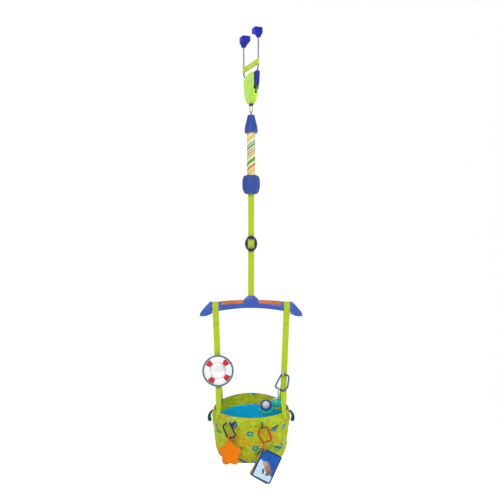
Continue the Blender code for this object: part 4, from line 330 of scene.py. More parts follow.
def softened(points, rounds=2, closed=False):
    """The path with its corners cut, its ends kept."""
    points = [Vector(point) for point in points]
    for _ in range(rounds):
        made = [] if closed else [points[0]]
        pairs = list(zip(points, points[1:] + points[:1])) if closed else list(zip(points, points[1:]))
        for before, after in pairs:
            made.append(before.lerp(after, 0.25))
            made.append(before.lerp(after, 0.75))
        if not closed:
            made.append(points[-1])
        points = made
    return points


def tube(path, radius, sides=14, closed=False):
    """Round tube along a path; radius may be a list."""
    count = len(path)
    radii = radius if isinstance(radius, (list, tuple)) else [radius] * count
    tangents = []
    for index in range(count):
        if closed:
            tangents.append((path[(index + 1) % count] - path[index - 1]).normalized())
        else:
            tangents.append((path[min(index + 1, count - 1)] - path[max(index - 1, 0)]).normalized())
    side = tangents[0].orthogonal().normalized()
    rings = []
    for index, tangent in enumerate(tangents):
        side = (side - tangent * side.dot(tangent)).normalized()
        other = tangent.cross(side)
        rings.append([path[index] + (side * math.cos(angle) + other * math.sin(angle)) * radii[index]
                      for angle in circle(sides)])
    if closed:
        first = rings[0]
        last = tangents[0].cross(side)
        start = (first[0] - path[0]).normalized()
        twist = round(math.atan2(start.dot(last), start.dot(side)) / math.tau * sides)
        bm = loft(rings)
        bmesh.ops.delete(bm, geom=[face for face in bm.faces if len(face.verts) > 4], context='FACES_ONLY')
        bm.verts.ensure_lookup_table()
        base = (count - 1) * sides
        for index in range(sides):
            after = (index + 1) % sides
            bm.faces.new((bm.verts[base + (index + twist) % sides], bm.verts[base + (after + twist) % sides],
                          bm.verts[after], bm.verts[index]))
        bmesh.ops.recalc_face_normals(bm, faces=bm.faces)
        return bm
    return loft(rings)


def ribbon_profile(width, thickness):
    """Across a webbing: flat middle, a slight dip beside the thicker woven edges."""
    half = width / 2.0
    thick = thickness / 2.0
    side = [(-half, 0.0), (-half + thick * 0.4, thick * 0.8), (-half + thick * 1.4, thick * 1.0),
            (-half + thick * 2.6, thick * 0.8), (-half * 0.5, thick * 0.92), (0.0, thick * 0.92)]
    top = side + [(-a, b) for a, b in reversed(side[:-1])]
    return top + [(a, -b) for a, b in reversed(top[1:-1])]


def ribbon(path, widths, width, thickness, closed=False):
    """Webbing along a path; widths gives the direction across it. Its UV map is in metres."""
    profile = ribbon_profile(width, thickness)
    rings = []
    count = len(path)
    for index, point in enumerate(path):
        if closed:
            ahead = path[(index + 1) % count]
            behind = path[index - 1]
        else:
            ahead = path[min(index + 1, count - 1)]
            behind = path[max(index - 1, 0)]
        across = widths[index].normalized()
        normal = across.cross(ahead - behind).normalized()
        rings.append([point + across * a + normal * b for a, b in profile])
    bm = loft(rings, closed)
    layer = bm.loops.layers.uv.verify()
    runs = [0.0]
    for before, after in zip(path, path[1:]):
        runs.append(runs[-1] + (after - before).length)
    size = len(profile)
    bm.verts.index_update()
    total = runs[-1] + (path[0] - path[-1]).length
    for face in bm.faces:
        rows = {vert.index // size for vert in face.verts}
        wraps = closed and 0 in rows and count - 1 in rows
        for loop in face.loops:
            row, column = divmod(loop.vert.index, size)
            run = total if wraps and row == 0 else runs[row]
            loop[layer].uv = (profile[column][0], run)
    return bm


def map_round(bm, columns, girth, height):
    """UV map in metres for rows of columns that go round; height gives the V at a vertex."""
    layer = bm.loops.layers.uv.verify()
    bm.verts.index_update()
    for face in bm.faces:
        here = {vert.index % columns for vert in face.verts}
        wraps = 0 in here and columns - 1 in here
        for loop in face.loops:
            column = loop.vert.index % columns
            turn = columns if wraps and column == 0 else column
            loop[layer].uv = (math.tau * turn / columns * girth, height(loop.vert))


def smoothed(mesh):
    """Smooth shading all over."""
    for polygon in mesh.polygons:
        polygon.use_smooth = True


def add_piece(name, bm, look, body, replaces=(), turn=True, sharp=None):
    """Adds a mesh piece that rides on a body; turn places it in the hanging frame."""
    if turn:
        bm.transform(TURN)
    mesh = bpy.data.meshes.new(name)
    bm.to_mesh(mesh)
    bm.free()
    smoothed(mesh)
    obj = bpy.data.objects.new(name, mesh)
    bpy.context.scene.collection.objects.link(obj)
    mesh.materials.append(finish(look))
    if sharp is not None:
        mesh.set_sharp_from_angle(angle=math.radians(sharp))
    if replaces:
        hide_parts(*replaces)
    if isinstance(body, str):
        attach(obj, body)
    return obj


def dress(look, edge, *names):
    """Solids that stay get a finish and smooth shading; an edge of 0 rounds a wire's whole section."""
    for name in names:
        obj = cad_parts[name]
        obj.data.materials.clear()
        obj.data.materials.append(finish(look))
        smoothed(obj.data)
        weld = obj.modifiers.new("Weld", 'WELD')
        weld.merge_threshold = 0.00002
        if edge == 0.0:
            rounder = obj.modifiers.new("Round", 'SUBSURF')
            rounder.levels = 1
            rounder.render_levels = 1
            continue
        whole = obj.modifiers.new("Whole faces", 'DECIMATE')
        whole.decimate_type = 'DISSOLVE'
        whole.angle_limit = math.radians(0.6)
        bevel = obj.modifiers.new("Edges", 'BEVEL')
        bevel.width = edge
        bevel.segments = 2
        bevel.limit_method = 'ANGLE'
        bevel.angle_limit = math.radians(35.0)
        bevel.harden_normals = False
        normals = obj.modifiers.new("Normals", 'WEIGHTED_NORMAL')
        normals.keep_sharp = True


def cut_with(obj, tools):
    """Boolean cuts, applied."""
    for number, tool in enumerate(tools):
        mesh = bpy.data.meshes.new(f"cutter_{number}")
        tool.to_mesh(mesh)
        tool.free()
        cutter = bpy.data.objects.new(f"cutter_{number}", mesh)
        bpy.context.scene.collection.objects.link(cutter)
        modifier = obj.modifiers.new("Cut", 'BOOLEAN')
        modifier.operation = 'DIFFERENCE'
        modifier.solver = 'EXACT'
        modifier.object = cutter
        bpy.context.view_layer.objects.active = obj
        bpy.ops.object.modifier_apply(modifier=modifier.name)
        bpy.data.objects.remove(cutter)


def stitches(rows, out_of, radius, name, look, body, turn=True):
    """Short raised threads; each row is a path and out_of gives the way out at a point."""
    length = sizes().stitch_length
    solids = []
    for row in rows:
        spots = evenly(row, length * SEWN_STEP)
        for start, end in zip(spots, spots[1:]):
            run = end - start
            out = out_of(start)
            half = run.normalized() * length / 2.0
            middle = start.lerp(end, 0.5) + out * radius * 0.35
            side = run.cross(out).normalized()
            rings = []
            for share, size in ((-1.0, 0.25), (-0.72, 0.85), (0.0, 1.0), (0.72, 0.85), (1.0, 0.25)):
                rings.append([middle + half * share + (side * math.cos(angle) * STITCH_FLATNESS
                                                       + out * math.sin(angle)) * radius * size
                              for angle in circle(6)])
            solids.append(loft(rings))
    return add_piece(name, merged(*solids), look, body, turn=turn)


# Material helpers

def feed(tree, node, inputs):
    """Sets inputs by name or number, each from a socket or a plain value."""
    for key, value in inputs.items():
        if isinstance(value, bpy.types.NodeSocket):
            tree.links.new(value, node.inputs[key])
        else:
            node.inputs[key].default_value = value


def put(tree, kind, inputs=None, **settings):
    """Adds a node with its settings and inputs."""
    made = tree.nodes.new(kind)
    for key, value in settings.items():
        setattr(made, key, value)
    feed(tree, made, inputs or {})
    return made


def maths(tree, operation, first, second=0.0, third=0.0, clamp=False):
    """One math node's result."""
    return put(tree, 'ShaderNodeMath', {0: first, 1: second, 2: third}, operation=operation,
               use_clamp=clamp).outputs[0]


def times(tree, first, second):
    """The product of two values."""
    return maths(tree, 'MULTIPLY', first, second)


def vectors(tree, operation, first, second=(0.0, 0.0, 0.0)):
    """One vector math node's outputs: the vector and the value."""
    return put(tree, 'ShaderNodeVectorMath', {0: first, 1: second}, operation=operation).outputs


def split(tree, vector):
    """A vector's parts."""
    return put(tree, 'ShaderNodeSeparateXYZ', {0: vector}).outputs


def spun(tree, place, angle):
    """A flat place turned about its origin."""
    return put(tree, 'ShaderNodeVectorRotate', {'Vector': place, 'Angle': angle},
               rotation_type='Z_AXIS').outputs[0]


def object_place(tree):
    """Places in metres from the piece's origin."""
    return put(tree, 'ShaderNodeTexCoord').outputs['Object']


def uv_place(tree):
    """Places on the piece's UV map."""
    return put(tree, 'ShaderNodeUVMap').outputs[0]


def speckle(tree, place, scale, detail, distortion=0.0):
    """A noise's value."""
    return put(tree, 'ShaderNodeTexNoise', {'Vector': place, 'Scale': scale, 'Detail': detail,
                                            'Distortion': distortion}).outputs[0]


def emboss(tree, height, strength, distance):
    """A normal raised by a height."""
    return put(tree, 'ShaderNodeBump', {'Height': height, 'Strength': strength,
                                        'Distance': distance}).outputs[0]


def step_up(tree, value, low, high):
    """0 below low, 1 above high, smooth between."""
    return put(tree, 'ShaderNodeMapRange', {'Value': value, 'From Min': low, 'From Max': high},
               interpolation_type='SMOOTHSTEP').outputs['Result']


def inked(tree, inside, edge=0.0003):
    """Mask of a printed shape, from the distance inside its outline in metres."""
    return step_up(tree, inside, -edge, edge)


def mix(tree, factor, first, second, blend='MIX'):
    """A mix of two colours."""
    return put(tree, 'ShaderNodeMix', {0: factor, 6: first, 7: second}, data_type='RGBA',
               blend_type=blend).outputs[2]


def full(colour, shade=1.0):
    """A colour with its alpha, lighter or darker."""
    return tuple(min(1.0, part * shade) for part in colour) + (1.0,)


def group(name, inputs, outputs):
    """A new shader group with its start's outputs and its end; an input of None takes a vector."""
    tree = bpy.data.node_groups.new(name, 'ShaderNodeTree')
    for title, default in inputs.items():
        kind = 'NodeSocketVector' if default is None else 'NodeSocketFloat'
        socket = tree.interface.new_socket(title, in_out='INPUT', socket_type=kind)
        if default is not None:
            socket.default_value = default
    for title in outputs:
        tree.interface.new_socket(title, in_out='OUTPUT', socket_type='NodeSocketFloat')
    return tree, tree.nodes.new('NodeGroupInput').outputs, tree.nodes.new('NodeGroupOutput')


def moulded_skin(name):
    """Fine uneven skin of moulded plastic: a tint mask, a roughness and a height."""
    tree, start, end = group(name, {"Grain": 900.0, "Roughness": 0.4}, ("Tint", "Roughness", "Height"))
    place = object_place(tree)
    broad = speckle(tree, place, 28.0, 3.0)
    fine = speckle(tree, place, start['Grain'], 2.0)
    rough = maths(tree, 'MULTIPLY_ADD', maths(tree, 'SUBTRACT', broad, 0.5), 0.22, start['Roughness'])
    feed(tree, end, {'Tint': step_up(tree, broad, 0.35, 0.75), 'Roughness': rough,
                     'Height': maths(tree, 'MULTIPLY_ADD', fine, 0.6, times(tree, broad, 0.4))})
    return tree


def edge_wear(name):
    """Mask of the outer edges, where handling polishes and lightens a moulding."""
    tree, start, end = group(name, {"Amount": 0.5}, ("Mask",))
    point = put(tree, 'ShaderNodeNewGeometry').outputs['Pointiness']
    patch = speckle(tree, object_place(tree), 140.0, 4.0)
    worn = times(tree, step_up(tree, point, 0.52, 0.60), step_up(tree, patch, 0.40, 0.65))
    feed(tree, end, {'Mask': times(tree, worn, start['Amount'])})
    return tree


def weave(name):
    """Over and under of crossing threads, from a UV map in metres: a height and a thread mask, which the
    cloths use for painted shade in the gaps between threads.
    """
    tree, start, end = group(name, {"Vector": None, "Across": 0.0012, "Along": 0.0016},
                             ("Height", "Thread"))
    parts = split(tree, start['Vector'])
    across = maths(tree, 'DIVIDE', parts[0], start['Across'])
    along = maths(tree, 'DIVIDE', parts[1], start['Along'])
    half_row = times(tree, maths(tree, 'FLOOR', across), 0.5)
    rib = maths(tree, 'SINE', times(tree, maths(tree, 'ADD', along, half_row), math.tau))
    warp = maths(tree, 'SINE', times(tree, maths(tree, 'FRACT', across), math.pi))
    height = times(tree, maths(tree, 'MULTIPLY_ADD', rib, 0.5, 0.5), maths(tree, 'POWER', warp, 0.6))
    feed(tree, end, {'Height': height, 'Thread': maths(tree, 'MULTIPLY_ADD', height, 0.7, 0.3)})
    return tree


def cloth_tone(name):
    """Broad unevenness of dyed cloth and the fuzz of its threads."""
    tree, start, end = group(name, {"Scale": 40.0}, ("Tone", "Fuzz"))
    place = object_place(tree)
    broad = speckle(tree, place, start['Scale'], 4.0)
    feed(tree, end, {'Tone': step_up(tree, broad, 0.25, 0.80), 'Fuzz': speckle(tree, place, 1800.0, 2.0)})
    return tree


def crumples(name):
    """Soft creases of unpressed cloth: a height and a mask of the creases, where the cloths paint shade."""
    tree, start, end = group(name, {"Scale": 21.0}, ("Height", "Crease"))
    place = object_place(tree)
    total = 0.0
    for share, size, warp in ((0.65, 1.0, 0.8), (0.35, 2.7, 0.5)):
        made = speckle(tree, place, times(tree, start['Scale'], size), 1.0, warp)
        away = maths(tree, 'ABSOLUTE', maths(tree, 'SUBTRACT', made, 0.5))
        total = maths(tree, 'MULTIPLY_ADD', step_up(tree, away, 0.0, 0.13), share, total)
    feed(tree, end, {'Height': total, 'Crease': maths(tree, 'SUBTRACT', 1.0, total, clamp=True)})
    return tree


GROUPS = {"Moulded skin": moulded_skin, "Edge wear": edge_wear, "Weave": weave, "Cloth tone": cloth_tone,
          "Crumples": crumples}


def place_group(tree, name, inputs=None):
    """Adds one of the groups, made at its first use; gives its outputs."""
    inside = bpy.data.node_groups.get(name) or GROUPS[name](name)
    return put(tree, 'ShaderNodeGroup', inputs, node_tree=inside).outputs


# Finishes

def blank(name):
    """A new material, its node tree and its shader."""
    made = bpy.data.materials.new(name)
    made.use_nodes = True
    return made, made.node_tree, made.node_tree.nodes["Principled BSDF"]


def plastic(name, colour, roughness, grain=900.0, bump=0.12, coat=0.0, wear=0.35, shade=0.82):
    """Moulded plastic with an uneven skin and slightly worn edges."""
    made, tree, shader = blank(name)
    skin = place_group(tree, "Moulded skin", {'Grain': grain, 'Roughness': roughness})
    worn = place_group(tree, "Edge wear", {'Amount': wear})
    base = mix(tree, skin['Tint'], full(colour), full(colour, shade))
    light = full([part + (1.0 - part) * 0.35 for part in colour])
    feed(tree, shader, {'Base Color': mix(tree, worn['Mask'], base, light), 'Roughness': skin['Roughness'],
                        'Normal': emboss(tree, skin['Height'], bump, 0.0004), 'Coat Weight': coat,
                        'Specular IOR Level': 0.32})
    return made


def steel(name, colour, roughness):
    """Plated steel with fine drawn scratches."""
    made, tree, shader = blank(name)
    place = object_place(tree)
    drawn = put(tree, 'ShaderNodeMapping', {'Vector': place, 'Scale': (1.0, 1.0, 0.06)}).outputs[0]
    lines = speckle(tree, drawn, 2600.0, 3.0)
    patch = step_up(tree, speckle(tree, place, 60.0, 3.0), 0.3, 0.8)
    feed(tree, shader, {'Base Color': mix(tree, patch, full(colour), full(colour, 0.75)),
                        'Roughness': maths(tree, 'MULTIPLY_ADD', lines, 0.25, roughness - 0.1),
                        'Normal': emboss(tree, lines, 0.15, 0.0002), 'Metallic': 1.0})
    return made


def webbing(name, colour, rib_spacing):
    """Woven strap: ribs, painted light on the thread tops with painted shade between the threads, and a broad
    tone.
    """
    made, tree, shader = blank(name)
    cross = place_group(tree, "Weave", {'Vector': uv_place(tree), 'Across': 0.0012, 'Along': rib_spacing})
    tone = place_group(tree, "Cloth tone", {'Scale': 45.0})
    # Painted light and shade of the weave: thread tops lighter, the gaps between them darker
    base = mix(tree, cross['Thread'], full(colour, 0.78), full(colour, 1.06))
    base = mix(tree, times(tree, tone['Tone'], 0.5), base, full(colour, 0.86))
    height = maths(tree, 'MULTIPLY_ADD', tone['Fuzz'], 0.25, cross['Height'])
    feed(tree, shader, {'Base Color': base, 'Normal': emboss(tree, height, 0.55, 0.0004),
                        'Roughness': maths(tree, 'MULTIPLY_ADD', cross['Thread'], -0.18, 0.92),
                        'Sheen Weight': 0.12, 'Sheen Roughness': 0.5, 'Sheen Tint': full(colour, 1.2),
                        'Specular IOR Level': 0.15})
    return made


def finish_cloth(tree, shader, colour, uv, bump=0.35, pitch=0.0006, crumple=0.0):
    """Fine plain weave with painted shade between its threads, fuzz and sheen over a colour socket; crumple
    adds creases with painted shade in them.
    """
    cross = place_group(tree, "Weave", {'Vector': uv, 'Across': pitch, 'Along': pitch})
    tone = place_group(tree, "Cloth tone", {'Scale': 30.0})
    # Painted shade in the gaps between the threads
    dark = mix(tree, 1.0, colour, (0.82, 0.82, 0.82, 1.0), 'MULTIPLY')
    base = mix(tree, cross['Thread'], dark, colour)
    deep = mix(tree, 1.0, base, (0.90, 0.90, 0.90, 1.0), 'MULTIPLY')
    base = mix(tree, times(tree, tone['Tone'], 0.6), base, deep)
    height = maths(tree, 'MULTIPLY_ADD', tone['Fuzz'], 0.3, cross['Height'])
    distance = 0.0003
    if crumple > 0.0:
        folds = place_group(tree, "Crumples")
        height = maths(tree, 'MULTIPLY_ADD', height, 0.12, folds['Height'])
        distance = 0.0040
        bump = crumple
        # Painted shade in the creases
        shaded = mix(tree, 1.0, base, (0.74, 0.76, 0.70, 1.0), 'MULTIPLY')
        base = mix(tree, times(tree, folds['Crease'], 0.50), base, shaded)
    feed(tree, shader, {'Base Color': base, 'Normal': emboss(tree, height, bump, distance),
                        'Roughness': maths(tree, 'MULTIPLY_ADD', tone['Fuzz'], 0.15, 0.80),
                        'Sheen Weight': 0.06, 'Specular IOR Level': 0.15})


def plain_cloth(name, colour, bump=0.35, pitch=0.0006, crumple=0.0):
    """Cloth of one colour."""
    made, tree, shader = blank(name)
    base = put(tree, 'ShaderNodeRGB').outputs[0]
    base.default_value = full(colour)
    finish_cloth(tree, shader, base, uv_place(tree), bump, pitch, crumple)
    return made


def cells(tree, uv, per_metre, shift):
    """One motif per cell: the place within the cell and the parts of a random colour."""
    spot = vectors(tree, 'ADD', uv, shift)[0]
    grid = put(tree, 'ShaderNodeTexVoronoi', {'Vector': spot, 'Scale': per_metre, 'Randomness': 0.75},
               voronoi_dimensions='2D').outputs
    inside = vectors(tree, 'SUBTRACT', spot, grid['Position'])[0]
    return inside, put(tree, 'ShaderNodeSeparateColor', {0: grid['Color']}).outputs


def leaf_mask(tree, x, y, length, fatness):
    """Pointed leaf: 1 inside."""
    run = maths(tree, 'DIVIDE', x, length)
    room = maths(tree, 'SUBTRACT', 1.0, times(tree, run, run))
    edge = times(tree, room, length * fatness)
    return inked(tree, maths(tree, 'SUBTRACT', edge, maths(tree, 'ABSOLUTE', y)), 0.0004)


def seat_print(name):
    """Generic print: big two-tone leaves, a few rings and dots over a lime and gold ground."""
    made, tree, shader = blank(name)
    tone = colours()
    lime = tone.print_lime
    uv = uv_place(tree)
    swirl = speckle(tree, uv, 14.0, 3.0, 1.6)
    base = mix(tree, step_up(tree, swirl, 0.53, 0.62), full(lime), full(tone.print_gold))
    brush = speckle(tree, uv, 44.0, 3.0, 2.4)
    base = mix(tree, times(tree, step_up(tree, brush, 0.60, 0.64), 0.60), base, full(lime, 1.30))
    base = mix(tree, times(tree, step_up(tree, brush, 0.42, 0.37), 0.42), base,
               (lime[0] * 0.46, lime[1] * 0.62, lime[2], 1.0))
    inside, parts = cells(tree, uv, 48.0, (0.013, 0.071, 0.0))
    reach = vectors(tree, 'LENGTH', inside)['Value']
    size = maths(tree, 'MULTIPLY_ADD', parts[2], 0.0030, 0.0014)
    dot = times(tree, inked(tree, maths(tree, 'SUBTRACT', size, reach)),
                maths(tree, 'LESS_THAN', parts[0], 0.46))
    speck = mix(tree, maths(tree, 'GREATER_THAN', parts[1], 0.42), full(tone.print_orange),
                full(tone.print_gold, 1.25))
    speck = mix(tree, maths(tree, 'GREATER_THAN', parts[1], 0.80), speck, (0.80, 0.88, 0.62, 1.0))
    base = mix(tree, dot, base, speck)
    inside, parts = cells(tree, uv, 13.0, (0.130, 0.017, 0.0))
    reach = vectors(tree, 'LENGTH', inside)['Value']
    shown = maths(tree, 'LESS_THAN', parts[1], 0.42)
    for size, width, colour in ((0.0135, 0.0016, tone.print_aqua), (0.0090, 0.0024, tone.print_teal),
                                (0.0035, 0.0036, tone.print_aqua)):
        ring = maths(tree, 'SUBTRACT', width, maths(tree, 'ABSOLUTE', maths(tree, 'SUBTRACT', reach, size)))
        base = mix(tree, times(tree, inked(tree, ring), shown), base, full(colour))
    inside, parts = cells(tree, uv, 11.5, (0.031, 0.142, 0.0))
    place = split(tree, spun(tree, inside, times(tree, parts[2], math.tau)))
    x = place[0]
    y = maths(tree, 'ADD', place[1], times(tree, times(tree, x, x), 9.0))
    shown = maths(tree, 'LESS_THAN', parts[0], 0.78)
    other = maths(tree, 'GREATER_THAN', parts[1], 0.50)
    tint = mix(tree, other, full(tone.print_blue), full(tone.print_teal))
    base = mix(tree, times(tree, leaf_mask(tree, x, y, 0.0250, 0.44), shown), base, tint)
    half = times(tree, leaf_mask(tree, x, y, 0.0225, 0.36), maths(tree, 'GREATER_THAN', y, 0.0))
    light = mix(tree, other, full(tone.print_aqua, 0.55), full(lime, 0.90))
    base = mix(tree, times(tree, half, shown), base, light)
    rib = maths(tree, 'PINGPONG', maths(tree, 'SUBTRACT', x, maths(tree, 'ABSOLUTE', y)), 0.0035)
    veins = times(tree, step_up(tree, rib, 0.0007, 0.0003), leaf_mask(tree, x, y, 0.0220, 0.34))
    base = mix(tree, times(tree, veins, times(tree, shown, 0.8)), base, full(tone.print_aqua))
    finish_cloth(tree, shader, base, uv, crumple=0.95)
    return made


def striped_cloth(name):
    """Pale cotton with slanted stripes of uneven width; UV runs round and up, in metres."""
    made, tree, shader = blank(name)
    uv = uv_place(tree)
    parts = split(tree, uv)
    slant = maths(tree, 'MULTIPLY_ADD', parts[0], -0.70, maths(tree, 'SUBTRACT', parts[1], 0.0583))
    ramp = put(tree, 'ShaderNodeValToRGB', {0: maths(tree, 'FRACT', maths(tree, 'DIVIDE', slant, 0.1700))})
    ramp.color_ramp.interpolation = 'CONSTANT'
    pale = (0.90, 0.86, 0.60, 1.0)
    stripes = (
        (0.0, 0.085, (0.87, 0.57, 0.10)), (0.13, 0.20, (0.80, 0.23, 0.06)), (0.26, 0.35, (0.15, 0.42, 0.05)),
        (0.42, 0.47, (0.62, 0.55, 0.10)), (0.50, 0.53, (0.22, 0.24, 0.17)), (0.555, 0.59, (0.76, 0.33, 0.10)),
        (0.64, 0.70, (0.14, 0.45, 0.16)), (0.725, 0.76, (0.10, 0.36, 0.34)), (0.84, 0.93, (0.86, 0.62, 0.08)),
    )
    elements = ramp.color_ramp.elements
    elements[0].color = full(stripes[0][2])
    elements[1].color = pale
    for first, last, colour in stripes:
        if first > 0.0:
            elements.new(first).color = full(colour)
        elements.new(last).color = pale
    finish_cloth(tree, shader, ramp.outputs[0], uv, 0.45, 0.0008)
    return made


def card_print(name, sky, hill, stone, border):
    """Generic picture: sky, a pale speckled slope and rounded stones inside a border; UV from 0 to 1."""
    made, tree, shader = blank(name)
    uv = uv_place(tree)
    parts = split(tree, uv)
    wave = times(tree, maths(tree, 'SINE', times(tree, parts[0], 5.0)), 0.07)
    slope = maths(tree, 'ADD', maths(tree, 'MULTIPLY_ADD', parts[0], -0.34, 0.62), wave)
    below = step_up(tree, maths(tree, 'SUBTRACT', slope, parts[1]), -0.01, 0.01)
    glow = step_up(tree, speckle(tree, uv, 3.0, 3.0), 0.35, 0.75)
    speck = put(tree, 'ShaderNodeTexVoronoi', {'Vector': uv, 'Scale': 26.0}, voronoi_dimensions='2D')
    pale = mix(tree, step_up(tree, speck.outputs['Distance'], 0.22, 0.42), full(hill, 1.2), full(hill, 0.75))
    base = mix(tree, below, mix(tree, glow, full(sky), full(sky, 0.55)), pale)
    for centre, radii, turn, shade in (((0.56, 0.47), (0.27, 0.12), 0.10, 1.0),
                                       ((0.72, 0.33), (0.15, 0.09), -0.12, 0.62),
                                       ((0.38, 0.54), (0.14, 0.07), 0.05, 1.7),
                                       ((0.44, 0.30), (0.10, 0.05), 0.16, 0.45)):
        spot = spun(tree, vectors(tree, 'SUBTRACT', uv, centre + (0.0,))[0], turn * math.tau)
        sized = vectors(tree, 'MULTIPLY', spot, (1.0 / radii[0], 1.0 / radii[1], 0.0))[0]
        inside = maths(tree, 'SUBTRACT', 1.0, vectors(tree, 'LENGTH', sized)['Value'])
        base = mix(tree, step_up(tree, inside, -0.04, 0.04), base, full(stone, shade))
    side, height = (maths(tree, 'MINIMUM', part, maths(tree, 'SUBTRACT', 1.0, part)) for part in parts[:2])
    edge = maths(tree, 'MINIMUM', side, times(tree, height, 1.38))
    skin = place_group(tree, "Moulded skin", {'Grain': 420.0, 'Roughness': 0.45})
    feed(tree, shader, {'Base Color': mix(tree, step_up(tree, edge, 0.066, 0.074), full(border), base),
                        'Roughness': skin['Roughness'],
                        'Normal': emboss(tree, skin['Height'], 0.3, 0.0006), 'Coat Weight': 0.05,
                        'Specular IOR Level': 0.25})
    return made


def mirror_sheet(name):
    """Plastic mirror, a little hazed."""
    made, tree, shader = blank(name)
    haze = speckle(tree, object_place(tree), 90.0, 4.0)
    feed(tree, shader, {'Base Color': mix(tree, haze, (0.93, 0.93, 0.94, 1.0), (0.86, 0.87, 0.88, 1.0)),
                        'Roughness': maths(tree, 'MULTIPLY_ADD', haze, 0.12, 0.26),
                        'Normal': emboss(tree, haze, 0.05, 0.001), 'Metallic': 0.9})
    return made


def finish(name):
    """The named finish, made once."""
    if name in bpy.data.materials:
        return bpy.data.materials[name]
    tone = colours()
    ribs = sizes().rib_spacing
    gloss = (900.0, 0.10, 0.1)
    # A plastic gives roughness, grain, bump, coat, wear and shade; a cloth bump, thread pitch and crumple
    makers = {
        "lime webbing": (webbing, tone.lime_webbing, ribs),
        # Painted light: a paler copy of the lime webbing, lightened to stand in for light the shaded safety
        # strap doesn't get
        "pale lime webbing": (webbing, (0.640, 0.820, 0.090), ribs),
        "lime thread": (plain_cloth, [part * 0.62 for part in tone.lime_webbing]),
        "lime housing": (plastic, tone.lime_plastic, 0.36, 1100.0, 0.10, 0.15),
        "deep blue moulding": (plastic, tone.deep_blue, 0.46, 800.0, 0.15, 0.0, 0.08, 0.7),
        "deep blue rubber": (plastic, tone.deep_blue, 0.72, 1500.0, 0.35, 0.0, 0.2),
        "black moulding": (plastic, (0.012, 0.014, 0.014), 0.45),
        "grey moulding": (plastic, (0.25, 0.25, 0.26), 0.5),
        "plated steel": (steel, (0.19, 0.18, 0.30), 0.34),
        "bright steel": (steel, (0.16, 0.16, 0.20), 0.28),
        "dark steel": (steel, (0.045, 0.050, 0.055), 0.30),
        "blue cap plastic": (plastic, tone.cap_blue, 0.50, 700.0, 0.28, 0.0, 0.25),
        "blue bar plastic": (plastic, tone.bar_blue, 0.40, 800.0, 0.16, 0.1),
        "orange rubber": (plastic, tone.bar_orange, 0.66, 1600.0, 0.35, 0.0, 0.15),
        "navy moulding": (plastic, tone.navy, 0.36, *gloss),
        "seat print": (seat_print,),
        "pale thread": (plain_cloth, (0.560, 0.700, 0.420)),
        "blue lining": (plain_cloth, tone.lining, 0.4, 0.0007, 0.5),
        "green ribbon": (plain_cloth, (0.014, 0.150, 0.085), 0.5, 0.0005),
        "pale ribbon": (plain_cloth, (0.58, 0.70, 0.62), 0.5, 0.0005),
        "teal piping": (plain_cloth, (0.020, 0.200, 0.230), 0.5, 0.0005),
        "orange ribbon": (plain_cloth, (0.80, 0.22, 0.03), 0.5, 0.0005),
        "orange plush": (plain_cloth, tone.star, 0.55, 0.0008),
        "orange thread": (plain_cloth, [part * 0.8 for part in tone.star]),
        "white moulding": (plastic, (0.90, 0.90, 0.89), 0.36, 900.0, 0.08, 0.1, 0.35, 0.96),
        "red moulding": (plastic, tone.red, 0.36, *gloss),
        "teal rim": (plastic, (0.045, 0.190, 0.260), 0.36, *gloss),
        "teal link": (plastic, (0.010, 0.085, 0.160), 0.38, *gloss),
        "red link": (plastic, (0.480, 0.010, 0.001), 0.42, *gloss),
        "navy toy plastic": (plastic, (0.008, 0.045, 0.260), 0.34, 900.0, 0.10, 0.15),
        "teal toy plastic": (plastic, (0.004, 0.500, 0.400), 0.22, 900.0, 0.10, 0.6, 0.1),
        "violet bead": (plastic, (0.74, 0.66, 0.82), 0.32, 900.0, 0.08, 0.3),
        "mirror sheet": (mirror_sheet,),
        "striped cotton": (striped_cloth,),
        "front picture": (card_print, (0.000, 0.108, 0.460), (0.56, 0.78, 0.92), (0.300, 0.180, 0.140),
                          (0.006, 0.034, 0.200)),
        "back picture": (card_print, (0.420, 0.400, 0.050), (0.62, 0.60, 0.30), (0.160, 0.240, 0.060),
                         (0.360, 0.340, 0.060)),
    }
    maker, *given = makers[name]
    return maker(name, *given)


# Shapes of the object's own pieces

def arc_points(centre, radius, first, last, steps):
    """Points (a, b) on an arc."""
    return [(centre[0] + radius * math.cos(first + (last - first) * step / steps),
             centre[1] + radius * math.sin(first + (last - first) * step / steps))
            for step in range(steps + 1)]


def facing_front(centre):
    """Local Z to the front, local Y up."""
    turned = Matrix((RIGHT, UP, FRONT)).transposed().to_4x4()
    return Matrix.Translation(centre) @ turned


def rim_drop(angle):
    """Drop of the seat's rim; angle 0 points along +X of the hanging frame."""
    lean = math.sin(angle)
    end = RIM_BACK if lean > 0.0 else RIM_FRONT
    return RIM_SIDE + (end - RIM_SIDE) * abs(lean) ** RIM_BEND_SHARE


def profile_size(share):
    """Size of the seat at a share of the way down."""
    for low, high in zip(CLOTH_PROFILE_SHARES, CLOTH_PROFILE_SHARES[1:]):
        if share <= high[0]:
            run = (share - low[0]) / (high[0] - low[0])
            return low[1] + (high[1] - low[1]) * run
    return CLOTH_PROFILE_SHARES[-1][1]


def smooth_size(share):
    """The seat's size with the corners of its table rounded."""
    places = (min(SHARE_LIMIT, max(0.0, share + spread)) for spread in (-0.035, 0.0, 0.035))
    return sum(profile_size(place) for place in places) / 3.0


def seat_point(angle, share, inset=0.0, lift=0.0):
    """A point on the seat's cloth, drawn in by inset."""
    size = smooth_size(share)
    pucker = PUCKER_DEPTH * math.cos(PUCKER_COUNT * angle) * share * share
    reach_x = SEAT_HALF_WIDTH * size + pucker - inset
    reach_y = SEAT_HALF_DEPTH * size + pucker - inset
    rim = rim_drop(angle)
    return Vector((reach_x * math.cos(angle), reach_y * math.sin(angle),
                   -(rim + (SEAT_FOOT - lift - rim) * share)))


def around(angle, centre):
    """Signed angle from a centre."""
    return (angle - centre + math.pi) % math.tau - math.pi


STRAP_ANGLES = tuple(math.radians(angle) for angle in (-32.0, -148.0, 36.0, 144.0))
PANEL_SEAMS = tuple(math.radians(angle) for angle in (-57.0, -123.0, 62.0, 118.0))
